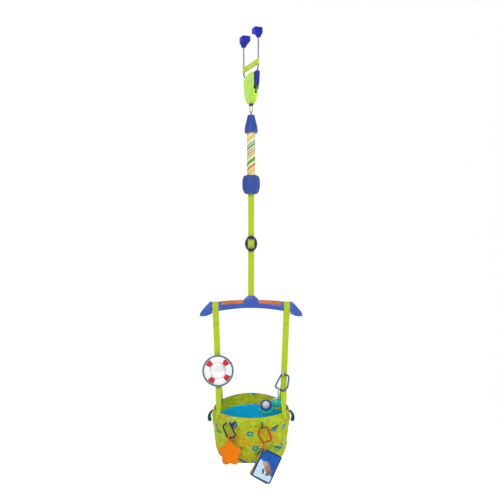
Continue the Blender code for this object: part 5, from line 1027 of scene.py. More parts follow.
# Where webbing, toy tabs and side ribbons are sewn on: angle, width and foot as a share of the way down
HELD_SPOTS = tuple((angle, 0.115, 0.15) for angle in STRAP_ANGLES) + (
    (math.radians(-120.0), 0.07, 0.10), (math.radians(-70.8), 0.07, 0.13),
    (math.radians(-9.0), 0.07, 0.05), (math.radians(-171.0), 0.07, 0.05),
)


def held_flat(angle, share):
    """How firmly sewn webbing holds the cloth flat at a place, from 0 to 1."""
    firm = 0.0
    for centre, width, foot in HELD_SPOTS:
        away = around(angle, centre) / width
        below = max(0.0, share - foot) / 0.07
        firm = max(firm, math.exp(-away ** 4 - below ** 2))
    return firm


def crease(place, scale, shift):
    """Crisp creases, along the lines where a noise crosses zero."""
    return max(0.0, 1.0 - 2.6 * abs(noise.noise(place * scale + Vector((shift, 2.3 * shift, 0.7 * shift)))))


def fold_depth(angle, share):
    """How deep the cloth folds in at a place: gathers fan from the straps, pulls run to the legs."""
    total = 0.0
    # Gathers that fan out below the straps
    for centre in STRAP_ANGLES:
        away = around(angle, centre)
        spread = 0.24 + 0.60 * share
        fan = 0.5 + 0.5 * math.cos(away * 30.0 / (1.0 + 1.7 * share) + centre * 3.0)
        total += 0.95 * math.exp(-(away / spread) ** 2) * fan * max(0.0, 1.0 - share * 1.3) ** 0.7
    # Pulls at both sides, towards the leg openings
    for centre in (0.0, math.pi):
        away = around(angle, centre)
        pull = 0.5 + 0.5 * math.sin(away * 15.0 + share * 6.0 + centre)
        total += 0.9 * math.exp(-(away / 0.85) ** 2) * pull * share ** 1.6
    # Slack folds at the front and the back
    for centre in (-math.pi / 2.0, math.pi / 2.0):
        away = around(angle, centre)
        drape = 0.5 + 0.5 * math.cos(away * 9.0 + math.sin(share * 5.0) * 1.6 + centre)
        total += 0.50 * math.exp(-(away / 0.75) ** 2) * drape * math.sin(math.pi * min(1.0, share * 1.1))
    for centre in PANEL_SEAMS:
        total += 0.55 * math.exp(-(around(angle, centre) / 0.034) ** 2)
    # Creases of unpressed cloth
    place = Vector((math.cos(angle), math.sin(angle), share * 1.8))
    total += 0.55 * crease(place, 2.9, 4.0) ** 1.5 + 0.40 * crease(place, 6.8, 9.0) ** 1.4
    total += 0.22 * (0.5 + 0.5 * noise.noise(place * 12.0))
    # The binding holds the cloth smooth at the leg openings, and the foot is smooth all round
    by_leg = min(1.0, max(0.0, (abs(math.cos(angle)) - 0.30) / 0.35))
    bound = min(1.0, max(0.0, (share - 0.70 + 0.14 * by_leg) / 0.15))
    free = 1.0 - 0.88 * bound * bound * (3.0 - 2.0 * bound)
    return sizes().wrinkle_depth * min(1.7, total) * (1.0 - held_flat(angle, share)) * free


def cloth_skin(outer_inset, inner_inset, start_drop, columns, rows):
    """Bucket of cloth between two insets, with its UV map in metres."""
    shares = [(row / rows) ** 0.9 * SHARE_LIMIT for row in range(rows + 1)]
    thickness = inner_inset - outer_inset

    def ring(share, inset, foot=None):
        points = []
        for angle in circle(columns):
            first = start_drop / (SEAT_FOOT - rim_drop(angle))
            there = first + (1.0 - first) * share
            drawn = inset + fold_depth(angle, there) * min(1.0, there * 6.0 + 0.15)
            point = seat_point(angle, there, drawn, inset)
            if foot is not None:
                point = Vector((point.x * foot, point.y * foot, -(SEAT_FOOT - inset)))
            points.append(point)
        return points

    def wall(inset):
        return [ring(share, inset) for share in shares] + [ring(SHARE_LIMIT, inset, foot)
                                                           for foot in (0.86, 0.5, 0.12)]

    crest = [[point + UP * thickness * rise for point in ring(0.0, outer_inset + thickness * side)]
             for side, rise in ((0.8, 0.16), (0.5, 0.22), (0.2, 0.16))]
    bm = loft(wall(inner_inset)[::-1] + crest + wall(outer_inset))
    down = [share * CLOTH_UV_DEPTH for share in shares + [1.15, 1.31, 1.47]]
    runs = down[::-1] + [0.0] * len(crest) + down
    map_round(bm, columns, CLOTH_UV_GIRTH, lambda vert: runs[vert.index // columns])
    return bm


def leg_oval(side, grow):
    """The leg opening's oval seen from above."""
    return [(side * LEG_HOLE_SPACING / 2.0 + (LEG_HOLE_WIDTH / 2.0 + grow) * math.cos(angle),
             LEG_HOLE_SETBACK + (LEG_HOLE_DEPTH / 2.0 + grow) * math.sin(angle)) for angle in circle(72)]


def leg_cutter(side):
    """Upright oval cutter for a leg opening."""
    return moved(loft([[(x, y, z) for x, y in leg_oval(side, 0.0)]
                       for z in (-SEAT_FOOT - 0.02, -SEAT_FOOT + LEG_HOLE_REACH)]), TURN)


def leg_edge(side, inset):
    """The leg opening's edge on the cloth, as a path."""
    path = []
    top = SEAT_FOOT - LEG_HOLE_REACH
    for x, y in leg_oval(side, BINDING_PLAY):
        angle = math.atan2(y / SEAT_HALF_DEPTH, x / SEAT_HALF_WIDTH)
        first = (top - rim_drop(angle)) / (SEAT_FOOT - rim_drop(angle))
        low, high = first, SHARE_LIMIT
        for _ in range(24):
            middle = (low + high) / 2.0
            point = seat_point(angle, middle, inset + fold_depth(angle, middle))
            if math.hypot(point.x, point.y) > math.hypot(x, y):
                low = middle
            else:
                high = middle
        point = seat_point(angle, low, inset + fold_depth(angle, low), inset)
        if low > first:
            point = Vector((x, y, max(point.z, -SEAT_FOOT + inset)))
        path.append(point)
    return softened(path, 2, closed=True)


def leg_band(side):
    """Binding laid over the leg opening's cut edge, from the outside of the cloth to its inside."""
    outer = leg_edge(side, SURFACE_INSET)
    inner = leg_edge(side, SHELL_THICKNESS)
    rings = []
    for number, (far, near) in enumerate(zip(outer, inner)):
        along = (outer[(number + 1) % len(outer)] - outer[number - 1]).normalized()
        across = far - near
        across -= along * across.dot(along)
        reach = across.length / 2.0 + BINDING_OVERLAP
        across.normalize()
        thick = along.cross(across) * BINDING_THICKNESS
        rings.append([(far + near) / 2.0 + across * (reach * math.cos(angle)) + thick * math.sin(angle)
                      for angle in circle(16)])
    return loft(rings, closed=True)


def surface_frame(angle, share):
    """Point on the seat's outside, the level direction along it, and the way out."""
    point = seat_point(angle, share)
    along = seat_point(angle + 0.01, share) - seat_point(angle - 0.01, share)
    along.z = 0.0
    along.normalize()
    out = Vector((along.y, -along.x, 0.0))
    if out.dot(Vector((point.x, point.y, 0.0))) < 0.0:
        out = -out
    return point, along, out


def strap_x(z):
    """The side straps lean in from the bar to the seat."""
    share = (SADDLE_Z - z) / (SADDLE_Z + RIM_SIDE)
    return SADDLE_REACH + (STRAP_FOOT_REACH - SADDLE_REACH) * share


def strap_leg(side, angle, away):
    """One leg from the split down to the seat's outside."""
    layer = sizes().webbing_thickness
    split = Vector((side * strap_x(STRAP_SPLIT_Z), away * (layer + GAP) / 2.0, STRAP_SPLIT_Z))
    points = []
    widths = []
    for share, lift in ((0.0, 0.005), (0.02, 0.0), (0.045, 0.0), (0.07, 0.0), (0.10, 0.0), (0.13, 0.0)):
        point, along, out = surface_frame(angle, share)
        if along.dot(RIGHT) < 0.0:
            along = -along
        points.append(point + out * (layer / 2.0 + GAP * 1.6) + UP * lift)
        widths.append(along)
    steps = 7
    path = [split.lerp(points[0], step / steps) for step in range(steps)]
    across = [RIGHT.lerp(widths[0], step / steps) for step in range(steps)]
    return path + points, across + widths


def strap_feet(side):
    """Angles of a side strap's front and rear foot on the seat."""
    return STRAP_ANGLES[0 if side > 0 else 1::2]


def side_strap(side):
    """Path and width directions of one side strap, from the seat's front over the bar to its back."""
    layer = sizes().webbing_thickness
    front_angle, rear_angle = strap_feet(side)
    front_path, front_across = strap_leg(side, front_angle, -1.0)
    rear_path, rear_across = strap_leg(side, rear_angle, 1.0)
    half = (layer + GAP) / 2.0
    reach = SADDLE_RADIUS + GAP + layer / 2.0
    centre = Vector((side * SADDLE_REACH, 0.0, SADDLE_Z))
    steps = 28
    over = [centre + Vector((0.0, -reach * math.cos(angle), reach * math.sin(angle)))
            for angle in (-SADDLE_SPREAD + (math.pi + 2.0 * SADDLE_SPREAD) * step / steps
                          for step in range(steps + 1))]
    down = [Vector((side * strap_x(z), 0.0, z))
            for z in (STRAP_SEW_Z - drop for drop in (0.0, 0.05, 0.11, 0.17, 0.22))]
    front = [point + FRONT * half for point in reversed(down)]
    rear = [point - FRONT * half for point in down]
    path = list(reversed(front_path)) + front + over + rear + rear_path
    middle = len(front) + len(over) + len(rear)
    widths = list(reversed(front_across)) + [RIGHT] * middle + rear_across
    return softened(path, 2), softened(widths, 2)


def ring_loop(top, foot, out):
    """Closed path of a ribbon round two bars; each is (centre, radius of the ribbon's middle)."""
    return [centre + out * a + UP * b for (centre, radius), first in ((foot, math.pi), (top, 0.0))
            for a, b in arc_points((0.0, 0.0), radius, first, first + math.pi, 10)]


def ribbon_loop(name, cloth, body, top, foot, along, out, node):
    """A sewn ribbon loop round two bars."""
    path = ring_loop(top, foot, out)
    add_piece(name, ribbon(path, [along] * len(path), TAB_LOOP_WIDTH, TAB_THICKNESS, closed=True), cloth,
              body, replaces=(node,))


class Face:
    """Flat plane that touches the seat at one reach."""

    def __init__(self, reach):
        self.reach = reach
        low = -SEAT_HALF_DEPTH * math.sqrt(1.0 - (reach / SEAT_HALF_WIDTH) ** 2)
        self.along = Vector((-low / SEAT_HALF_DEPTH * SEAT_HALF_WIDTH,
                             reach / SEAT_HALF_WIDTH * SEAT_HALF_DEPTH, 0.0)).normalized()
        self.out = Vector((self.along.y, -self.along.x, 0.0))
        self.base = Vector((reach, low, 0.0))

    def point(self, reach, drop, out):
        """Point at a reach seen from the front, a drop and a distance off the seat."""
        along = self.along * ((reach - self.reach) / self.along.x)
        return self.base + along + self.out * out + Vector((0.0, 0.0, -drop))


def rounded_loop(corners, radius, steps=8):
    """Closed outline with its corners rounded."""
    points = []
    count = len(corners)
    for index in range(count):
        corner = Vector(corners[index])
        before = (Vector(corners[index - 1]) - corner).normalized()
        after = (Vector(corners[(index + 1) % count]) - corner).normalized()
        inset = radius / math.tan(before.angle(after) / 2.0)
        start = corner + before * inset
        end = corner + after * inset
        for share in (step / steps for step in range(steps + 1)):
            rest = 1.0 - share
            points.append(start * rest * rest + corner * 2.0 * share * rest + end * share * share)
    return points


def highest(corners):
    """Highest point of a link's middle line."""
    return min(rounded_loop(corners, LINK_CORNER), key=lambda point: point.y)


def lowest(corners):
    """Lowest point of a link's middle line."""
    return max(rounded_loop(corners, LINK_CORNER), key=lambda point: point.y)


def strap_link_point(reach, drop):
    """Place of the strap's link, which leans back as it hangs."""
    top = highest(STRAP_LINK_CORNERS)
    return Vector((reach, -STRAP_LINK_SETBACK - (drop - top.y) * STRAP_LINK_LEAN_SHARE, -drop))


def link_tube(name, corners, make, cloth, node):
    """A moulded link: a bar bent round its corners."""
    path = evenly([make(point.x, point.y) for point in rounded_loop(corners, LINK_CORNER)], PATH_STEP,
                  closed=True)
    return add_piece(name, tube(path, LINK_WIRE / 2.0, 16, closed=True), cloth, None, replaces=(node,))


def rounded_outline(width, height, corner, steps, centre):
    """Rounded rectangle as (a, b) points."""
    points = []
    for sign_x, sign_y, first in ((1, 1, 0.0), (-1, 1, 90.0), (-1, -1, 180.0), (1, -1, 270.0)):
        middle = (centre[0] + sign_x * (width / 2.0 - corner), centre[1] + sign_y * (height / 2.0 - corner))
        points += arc_points(middle, corner, math.radians(first), math.radians(first + 90.0), steps)
    return points


def ball(centre, radii, columns, rows):
    """Ellipsoid."""
    rings = []
    for row in range(rows + 1):
        lean = -math.pi / 2.0 + math.pi * row / rows
        size = max(math.cos(lean), 1e-4)
        rings.append([(centre[0] + radii[0] * size * math.cos(angle),
                       centre[1] + radii[1] * size * math.sin(angle),
                       centre[2] + radii[2] * math.sin(lean)) for angle in circle(columns)])
    return loft(rings)


# Operators, one for each group of pieces

class JUMPER_OT_clamp(bpy.types.Operator):
    """Finishes the clamp's housing, arms, pads and hook, and makes its safety strap"""

    bl_idname = "jumper.clamp"
    bl_label = "Clamp"

    def execute(self, context):
        dress("lime housing", 0.0012, "housing_left", "housing_right")
        dress("deep blue moulding", 0.0012, "front_pad", "rear_pad", "front_grip")
        dress("deep blue rubber", 0.0006, "front_pad_face", "rear_pad_face")
        dress("black moulding", 0.0006, "grip_ferrule", "hanger_block")
        dress("plated steel", 0.0, "rear_rod", "front_rod")
        dress("dark steel", 0.0, "hanger_link", "swivel_eye", "clamp_spring")
        dress("plated steel", 0.0003, "arm_pivot_pin", "hanger_pin", "strap_anchor_pin", "bar_pin")
        self.safety_strap()
        return {'FINISHED'}

    def safety_strap(self):
        """Webbing on edge, looped round both rods and sewn together between them."""
        layer = sizes().webbing_thickness
        width = sizes().webbing_width
        reach = ROD_RADIUS + GAP + layer / 2.0
        half = layer / 2.0 + GAP / 3.0
        plan = arc_points((0.0, FRONT_ROD_Y), reach, math.radians(150.0), math.radians(390.0), 20)
        plan += [(half, FRONT_ROD_Y + reach * 2.4), (half, REAR_ROD_Y - reach * 2.4)]
        plan += arc_points((0.0, REAR_ROD_Y), reach, math.radians(-30.0), math.radians(210.0), 20)
        plan += [(-half, REAR_ROD_Y - reach * 2.4), (-half, FRONT_ROD_Y + reach * 2.4)]
        z = -SAFETY_TOP - width / 2.0
        path = evenly([Vector((x, y, z)) for x, y in plan], PATH_STEP, closed=True)
        # The safety strap takes a paler copy of the lime webbing: painted light over the shade it sits in
        strap = add_piece("safety_webbing", ribbon(path, [UP] * len(path), width, layer, closed=True),
                          "pale lime webbing", None, replaces=("safety_strap",), turn=False)
        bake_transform(strap)
        rows = []
        low = z - width / 2.0 + 0.003
        high = z + width / 2.0 - 0.003
        for side in (1.0, -1.0):
            x = side * (half + layer / 2.0)
            for near, far in ((FRONT_ROD_Y + 0.012, FRONT_ROD_Y + 0.036),
                              (REAR_ROD_Y - 0.036, REAR_ROD_Y - 0.012)):
                box = [(x, near, low), (x, far, low), (x, far, high), (x, near, high), (x, near, low)]
                rows += [box, [box[0], box[2]], [box[3], box[1]]]
        sewn = stitches(rows, lambda point: RIGHT if point.x > 0.0 else -RIGHT, THREAD_RADIUS,
                        "safety_webbing_stitches", "lime thread", None, turn=False)
        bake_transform(sewn)


class JUMPER_OT_spring(bpy.types.Operator):
    """Finishes the spring's caps and makes the coil and the striped sleeve"""

    bl_idname = "jumper.spring"
    bl_label = "Spring"

    def execute(self, context):
        dress("blue cap plastic", 0.0008, "spring_top_cap", "spring_bottom_cap")
        dress("grey moulding", 0.0004, "spring_top_plug", "spring_bottom_plug")
        top = TOP_CAP_FOOT + SLEEVE_TUCK
        foot = BOTTOM_CAP_TOP - SLEEVE_TUCK
        start = (0.0, 0.0, TOP_CAP_FOOT)
        end = (0.0, 0.0, BOTTOM_CAP_TOP)
        steps = COIL_TURNS * 20
        inset = SLEEVE_TUCK - COIL_SHORTFALL - COIL_WIRE_RADIUS
        coil_top = TOP_CAP_FOOT + inset
        coil_foot = BOTTOM_CAP_TOP - inset
        turned = arc_points((0.0, 0.0), COIL_RADIUS, 0.0, math.tau * COIL_TURNS, steps)
        path = [Vector((x, y, coil_top + (coil_foot - coil_top) * step / steps))
                for step, (x, y) in enumerate(turned)]
        coil = add_piece("coil_spring", tube(path, COIL_WIRE_RADIUS, 8), "bright steel", None,
                         replaces=("bounce_spring",))
        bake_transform(coil)
        self.sleeve(top, foot, start, end)
        return {'FINISHED'}

    def sleeve(self, top, foot, start, end):
        """Cotton tube, a little slack, drawn smooth where the caps hold it."""
        columns = 72
        rows = 70

        def ring(row, inset):
            share = row / rows
            z = top + (foot - top) * share
            free = max(0.0, min(1.0, min(top - SLEEVE_TUCK - z, z - foot - SLEEVE_TUCK) / 0.012))
            points = []
            for angle in (spot + math.pi / 2.0 for spot in circle(columns)):
                place = Vector((math.cos(angle), math.sin(angle), z * 34.0))
                crease = 0.5 + 0.5 * noise.noise(place * 1.1)
                ripple = 0.5 + 0.5 * math.sin(z * 410.0 + 2.4 * math.sin(angle * 2.0) + 3.0 * crease)
                gather = 0.5 + 0.5 * math.cos(angle * 14.0)
                near = math.exp(-((top - SLEEVE_TUCK - z) / 0.008) ** 2)
                near += math.exp(-((z - foot - SLEEVE_TUCK) / 0.008) ** 2)
                drawn = free * (0.0009 * crease + 0.00045 * ripple) + 0.0006 * gather * near
                reach = SLEEVE_RADIUS - inset - drawn
                points.append((reach * math.cos(angle), reach * math.sin(angle), z))
            return points

        outer = [ring(row, 0.0) for row in range(rows + 1)]
        inner = [ring(row, SLEEVE_CLOTH) for row in range(rows, -1, -1)]
        bm = loft(outer + inner, closed=True)
        map_round(bm, columns, SLEEVE_RADIUS, lambda vert: vert.co.z)
        sleeve = add_piece("striped_sleeve", bm, "striped cotton", None, replaces=("spring_sleeve",))
        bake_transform(sleeve)


class JUMPER_OT_height_strap(bpy.types.Operator):
    """Makes the height strap's stretches and finishes its slide buckle"""

    bl_idname = "jumper.height_strap"
    bl_label = "Height strap"

    def execute(self, context):
        layer = sizes().webbing_thickness
        dress("navy moulding", 0.0009, "slide_buckle")

        def flat(path):
            return [Vector((0.0, a, b)) for a, b in path]

        def stretch(name, body, node, points):
            band = ribbon(points, [RIGHT] * len(points), sizes().webbing_width, layer)
            return add_piece(name, band, "lime webbing", body, replaces=(node,))

        # Distances of the strap's layers from the buckle's and the pins' middle
        tail = BUCKLE_BAR_THICKNESS / 2.0 + GAP + layer / 2.0
        strand = tail + layer + GAP
        behind = BUCKLE_THICKNESS / 2.0 + GAP + layer / 2.0
        after = behind + layer + GAP * 2.0
        pin_reach = ANCHOR_PIN_RADIUS + GAP + layer / 2.0
        bar_reach = BAR_PIN_RADIUS + GAP + layer / 2.0
        spacing = 0.0011
        # Heights above the buckle's or a pin's middle
        ring = BUCKLE_HEIGHT / 2.0
        turn = BUCKLE_BAR_HEIGHT / 2.0
        window = turn + BUCKLE_WINDOW_HEIGHT - BUCKLE_ENTRY
        bight = BAR_PIN_Z + 0.016
        split = BUCKLE_Z - 0.050
        path = [(pin_reach, ANCHOR_PIN_Z - 0.014)]
        path += arc_points((0.0, ANCHOR_PIN_Z), pin_reach, 0.0, math.pi, 12)
        path += [(-pin_reach * 0.7, ANCHOR_PIN_Z - 0.014), (0.0, BOTTOM_CAP_FOOT),
                 (0.0, BUCKLE_Z + ring * 2.0), (behind, BUCKLE_Z + ring * 1.15),
                 (behind, BUCKLE_Z + window), (-strand, BUCKLE_Z + turn + tail * 1.3),
                 (-strand, BUCKLE_Z - turn), (behind, BUCKLE_Z - window), (behind, BUCKLE_Z - ring * 1.15)]
        below = (behind + (-spacing - behind) * (0.050 - ring * 1.15) / (ring * 0.85), split)
        piece = stretch("height_strap_upper", None, "main_strap",
                        evenly(softened(flat(path + [below]), 1), STRAP_STEP))
        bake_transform(piece)
        path = [below, (-spacing, BUCKLE_Z - ring * 2.0), (-spacing, BAR_TOP + 0.010), (-bar_reach, bight)]
        piece = stretch("height_strap_lower", None, "main_strap_lower", evenly(flat(path), STRAP_STEP))
        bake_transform(piece)
        path = [(-tail, BUCKLE_Z - turn * 0.6)]
        path += arc_points((0.0, BUCKLE_Z + turn), tail, math.pi, 0.0, 10)
        path += [(tail, BUCKLE_Z - turn), (after, BUCKLE_Z - window), (after, BUCKLE_Z - ring * 1.15),
                 (spacing, BUCKLE_Z - ring * 2.0), (spacing, BAR_TOP + 0.010), (bar_reach, bight)]
        piece = stretch("height_strap_tail", None, "main_strap_tail", evenly(flat(path), 0.0030))
        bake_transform(piece)
        path = [(bar_reach, bight)] + arc_points((0.0, BAR_PIN_Z), bar_reach, 0.0, -math.pi, 16)
        stretch("height_strap_bight", "loop_foot", "main_strap_bight", flat(path + [(-bar_reach, bight)]))
        return {'FINISHED'}


class JUMPER_OT_bar(bpy.types.Operator):
    """Finishes the spreader bar and its soft inserts"""

    bl_idname = "jumper.bar"
    bl_label = "Spreader bar"

    def execute(self, context):
        dress("blue bar plastic", 0.0026, "bar_front_half", "bar_back_half")
        dress("orange rubber", 0.0010, "orange_grip_left", "orange_grip_right")
        return {'FINISHED'}


class JUMPER_OT_side_straps(bpy.types.Operator):
    """Makes both side straps with their stitches"""

    bl_idname = "jumper.side_straps"
    bl_label = "Side straps"

    def execute(self, context):
        width = sizes().webbing_width
        layer = sizes().webbing_thickness
        for side, name, node in ((1.0, "side_strap_right", "strap_right"),
                                 (-1.0, "side_strap_left", "strap_left")):
            path, widths = side_strap(side)
            add_piece(name, ribbon(path, widths, width, layer), "lime webbing", "seat_hanger",
                      replaces=(node,))
            self.thread(side, name, width, layer)
        return {'FINISHED'}

    def thread(self, side, name, width, layer):
        """Box stitches under the bar, and rows at both feet on the seat."""
        inside = width / 2.0 - 0.003
        rows = []
        for away in (1.0, -1.0):
            y = away * (layer + GAP / 2.0)
            low = STRAP_SEW_Z - 0.024
            high = STRAP_SEW_Z - 0.002
            corners = [Vector((side * strap_x(z) + a, -y, z))
                       for a, z in ((-inside, low), (inside, low), (inside, high), (-inside, high),
                                    (-inside, low))]
            rows += [corners, [corners[0], corners[2]], [corners[1], corners[3]]]
        turned = [[TURN @ point for point in row] for row in rows]
        front = TURN @ FRONT
        stitches(turned, lambda point: front if point.dot(front) > 0.0 else -front, THREAD_RADIUS,
                 f"{name}_box_stitches", "lime thread", "seat_hanger", turn=False)
        for title, angle in zip(("front", "rear"), strap_feet(side)):
            spots = []
            for share in (0.035, 0.07, 0.10, 0.122):
                point, along, out = surface_frame(angle, share)
                spots.append((point + out * (layer + GAP * 1.7), along))
            way = TURN.to_3x3() @ surface_frame(angle, 0.07)[2]
            left = [TURN @ (point - along * inside) for point, along in spots]
            right = [TURN @ (point + along * inside) for point, along in spots]
            rows = [left, right, [left[-1], right[-1]], [left[0], right[0]], [left[1], right[1]]]
            stitches(rows, lambda point, way=way: way, THREAD_RADIUS, f"{name}_{title}_foot_stitches",
                     "lime thread", "seat_hanger", turn=False)


class JUMPER_OT_seat(bpy.types.Operator):
    """Makes the sling seat: printed bucket, blue lining, piping and bound leg openings"""

    bl_idname = "jumper.seat"
    bl_label = "Sling seat"

    def execute(self, context):
        shell = add_piece("seat_cloth", cloth_skin(SURFACE_INSET, SHELL_THICKNESS, 0.0, 240, 72),
                          "seat print", None, replaces=("seat_shell",))
        cut_with(shell, [leg_cutter(side) for side in (-1, 1)])
        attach(shell, "seat_hanger")
        start = SHELL_THICKNESS + GAP * 2.0
        lining = add_piece("seat_lining_cloth",
                           cloth_skin(start, start + LINING_CLOTH, LINING_DROP, 160, 44), "blue lining", None,
                           replaces=("seat_lining",))
        cut_with(lining, [leg_cutter(side) for side in (-1, 1)])
        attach(lining, "seat_hanger")
        rim = []
        seam = []
        for angle in circle(220):
            folded = SHELL_THICKNESS * 0.55 + fold_depth(angle, 0.0) * 0.15
            rim.append(seat_point(angle, 0.0, folded) + UP * 0.0014)
            share = LINING_DROP / (SEAT_FOOT - rim_drop(angle))
            seam.append(seat_point(angle, share, start + SURFACE_INSET + fold_depth(angle, share)))
        for name, path, radius in (("rim_piping", rim, sizes().piping_radius),
                                   ("lining_seam_tape", seam, SEAM_TAPE_RADIUS)):
            add_piece(name, tube(path, radius, 10, closed=True), "teal piping", "seat_hanger")
        for side, title in ((-1, "left"), (1, "right")):
            add_piece(f"leg_binding_{title}", leg_band(side), "green ribbon", "seat_hanger")
        self.topstitching()
        self.loops()
        return {'FINISHED'}

    def topstitching(self):
        """Pale stitches along the hem and beside the panel seams."""
        def on_cloth(angle, share):
            drawn = fold_depth(angle, share) * min(1.0, share * 6.0 + 0.15)
            return seat_point(angle, share, drawn, 0.0)

        def way_out(point):
            return Vector((point.x / SEAT_HALF_WIDTH ** 2, point.y / SEAT_HALF_DEPTH ** 2, 0.0)).normalized()

        rows = [[on_cloth(math.tau * step / 240, HEM_SHARE) for step in range(241)]]
        for seam in PANEL_SEAMS:
            for side in (-SEAM_STITCH_ANGLE, SEAM_STITCH_ANGLE):
                rows.append([on_cloth(seam + side, 0.07 + 0.80 * step / 40) for step in range(41)])
        stitches(rows, way_out, 0.0005, "seat_topstitching", "pale thread", "seat_hanger")

    def loops(self):
        """Green ribbon loops in the side seams."""
        for angle, name, node in ((math.radians(-9.0), "side_ribbon_right", "side_loop_right"),
                                  (math.pi + math.radians(9.0), "side_ribbon_left", "side_loop_left")):
            point, along, out = surface_frame(angle, 0.02)
            if along.y > 0.0:
                along = -along
            across = (along + out * 1.1).normalized()
            apart = (out - along * 1.1).normalized()
            small = TAB_THICKNESS * 0.5 + GAP
            top = point + out * 0.0045
            foot = seat_point(angle, 0.20) + out * 0.0105
            path = []
            for spot in evenly(ring_loop((top, small), (foot, 0.005), apart), 0.0018, closed=True):
                share = min(1.0, max(0.0, (top.z - spot.z) / (top.z - foot.z)))
                path.append(spot + out * 0.0065 * math.sin(math.pi * share))
            band = ribbon(path, [across] * len(path), SIDE_RIBBON_WIDTH, TAB_THICKNESS, closed=True)
            add_piece(name, band, "green ribbon", "seat_hanger", replaces=(node,))


class JUMPER_OT_mirror(bpy.types.Operator):
    """Makes the ring toy with its mirror on the left strap"""

    bl_idname = "jumper.mirror"
    bl_label = "Ring mirror"

    def execute(self, context):
        drop = Vector((-strap_x(-MIRROR_DROP), -0.00205, -MIRROR_DROP))
        lay = facing_front(drop)
        deep = MIRROR_DEPTH
        inside = MIRROR_RADIUS - MIRROR_RIM_WIDTH
        middle = MIRROR_RADIUS - MIRROR_RIM_WIDTH / 2.0
        half = MIRROR_RIM_WIDTH / 2.0
        section = [(inside, 0.001), (MIRROR_RADIUS - 0.002, 0.0), (MIRROR_RADIUS, 0.002)]
        section += arc_points((middle, deep - half), half, 0.0, math.pi, 12)
        add_piece("ring_toy_rim", moved(lathe(section, 96), lay), "teal rim", "mirror",
                  replaces=("mirror_rim",))
        hole = MIRROR_GLASS_RADIUS + GAP
        outer = inside - GAP
        back = 0.0042

        def height(radius):
            share = (radius - outer) / (hole - outer)
            return deep - 0.0042 + 0.0040 * math.sin(math.pi * (0.12 + 0.80 * share)) ** 0.7

        crown = [outer + (hole - outer) * step / 14 for step in range(15)]
        section = [(hole, back), (outer, back)] + [(radius, height(radius)) for radius in crown]
        add_piece("ring_toy_body", moved(lathe(section, 96), lay), "white moulding", "mirror",
                  replaces=("mirror_ring",))
        solids = []
        spread = MIRROR_BLOCK_WIDTH / 2.0 / MIRROR_BLOCK_OUTER
        for angle in MIRROR_BLOCK_ANGLES:
            rings = []
            for radial in range(11):
                part = radial / 10
                radius = MIRROR_BLOCK_INNER + (MIRROR_BLOCK_OUTER - MIRROR_BLOCK_INNER) * part
                over = []
                under = []
                for step in range(13):
                    share = step / 12
                    edge = min(1.0, min(share, 1.0 - share) * 9.0) * min(1.0, min(part, 1.0 - part) * 8.0)
                    turn = angle + spread * (2.0 * share - 1.0)
                    rise = height(radius) - 0.0006 + 0.0014 * math.sqrt(edge)
                    over.append((radius * math.cos(turn), radius * math.sin(turn), rise))
                    under.append((radius * math.cos(turn), radius * math.sin(turn), height(radius) - 0.0016))
                rings.append(over + list(reversed(under)))
            solids.append(loft(rings))
        add_piece("ring_toy_red_blocks", moved(merged(*solids), lay), "red moulding", "mirror",
                  replaces=("mirror_red_plate",))
        glass = MIRROR_GLASS_RADIUS - GAP
        profile = [(glass, 0.0026), (glass, 0.0066), (glass - 0.0006, 0.0072)]
        profile += [(glass * math.cos(angle) - 0.0008, 0.0072 + 0.0032 * math.sin(angle))
                    for angle in (math.pi / 2.0 * step / 12 for step in range(1, 13))]
        add_piece("ring_toy_mirror", moved(disc_lathe(profile, 80), lay), "mirror sheet", "mirror",
                  replaces=("mirror_glass",))
        dress("white moulding", 0.0005, "mirror_back")
        return {'FINISHED'}


class JUMPER_OT_links(bpy.types.Operator):
    """Makes the three plastic links and the ribbon tabs that hold them"""

    bl_idname = "jumper.links"
    bl_label = "Toy links"

    def execute(self, context):
        wrap = LINK_WIRE / 2.0 + LINK_PLAY + TAB_THICKNESS / 2.0
        small = TAB_THICKNESS / 2.0 + GAP
        top = highest(STRAP_LINK_CORNERS)
        wire = strap_link_point(top.x, top.y)
        layer = sizes().webbing_thickness
        sewn = Vector((top.x, -(layer + 2.0 * GAP + TAB_THICKNESS), wire.z + TAB_RISE))
        ribbon_loop("strap_link_ribbon", "pale ribbon", "seat_hanger", (sewn, small), (wire, wrap), RIGHT,
                    FRONT, "link_tab")
        piece = link_tube("strap_toy_link", STRAP_LINK_CORNERS, strap_link_point, "teal link", "strap_link")
        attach(piece, "strap_link")
        for reach, corners, cloth, tab_cloth, name, tab in (
                (STAR_REACH, STAR_LINK_CORNERS, "navy moulding", "pale ribbon", "star_link", "star_tab"),
                (CARD_HANG_REACH, RED_LINK_CORNERS, "red link", "green ribbon", "red_link", "red_tab")):
            face = Face(reach)
            piece = link_tube(f"{name}_moulding", corners,
                              lambda a, b, face=face: face.point(a, b, LINK_STAND_OFF), cloth, name)
            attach(piece, name)
            low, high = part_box(tab)
            middle = TURN.inverted() @ ((low + high) / 2.0)
            top = highest(corners)
            wire = face.point(top.x, top.y, LINK_STAND_OFF)
            sewn = Vector((wire.x, wire.y, high.z - small - TAB_THICKNESS / 2.0))
            shift = 2.0 * (middle - wire).dot(face.out)
            sewn += face.out * max(-0.006, min(0.006, shift + wrap - small))
            ribbon_loop(f"{tab}_ribbon", tab_cloth, "seat_hanger", (sewn, small), (wire, wrap), face.along,
                        face.out, tab)
        return {'FINISHED'}


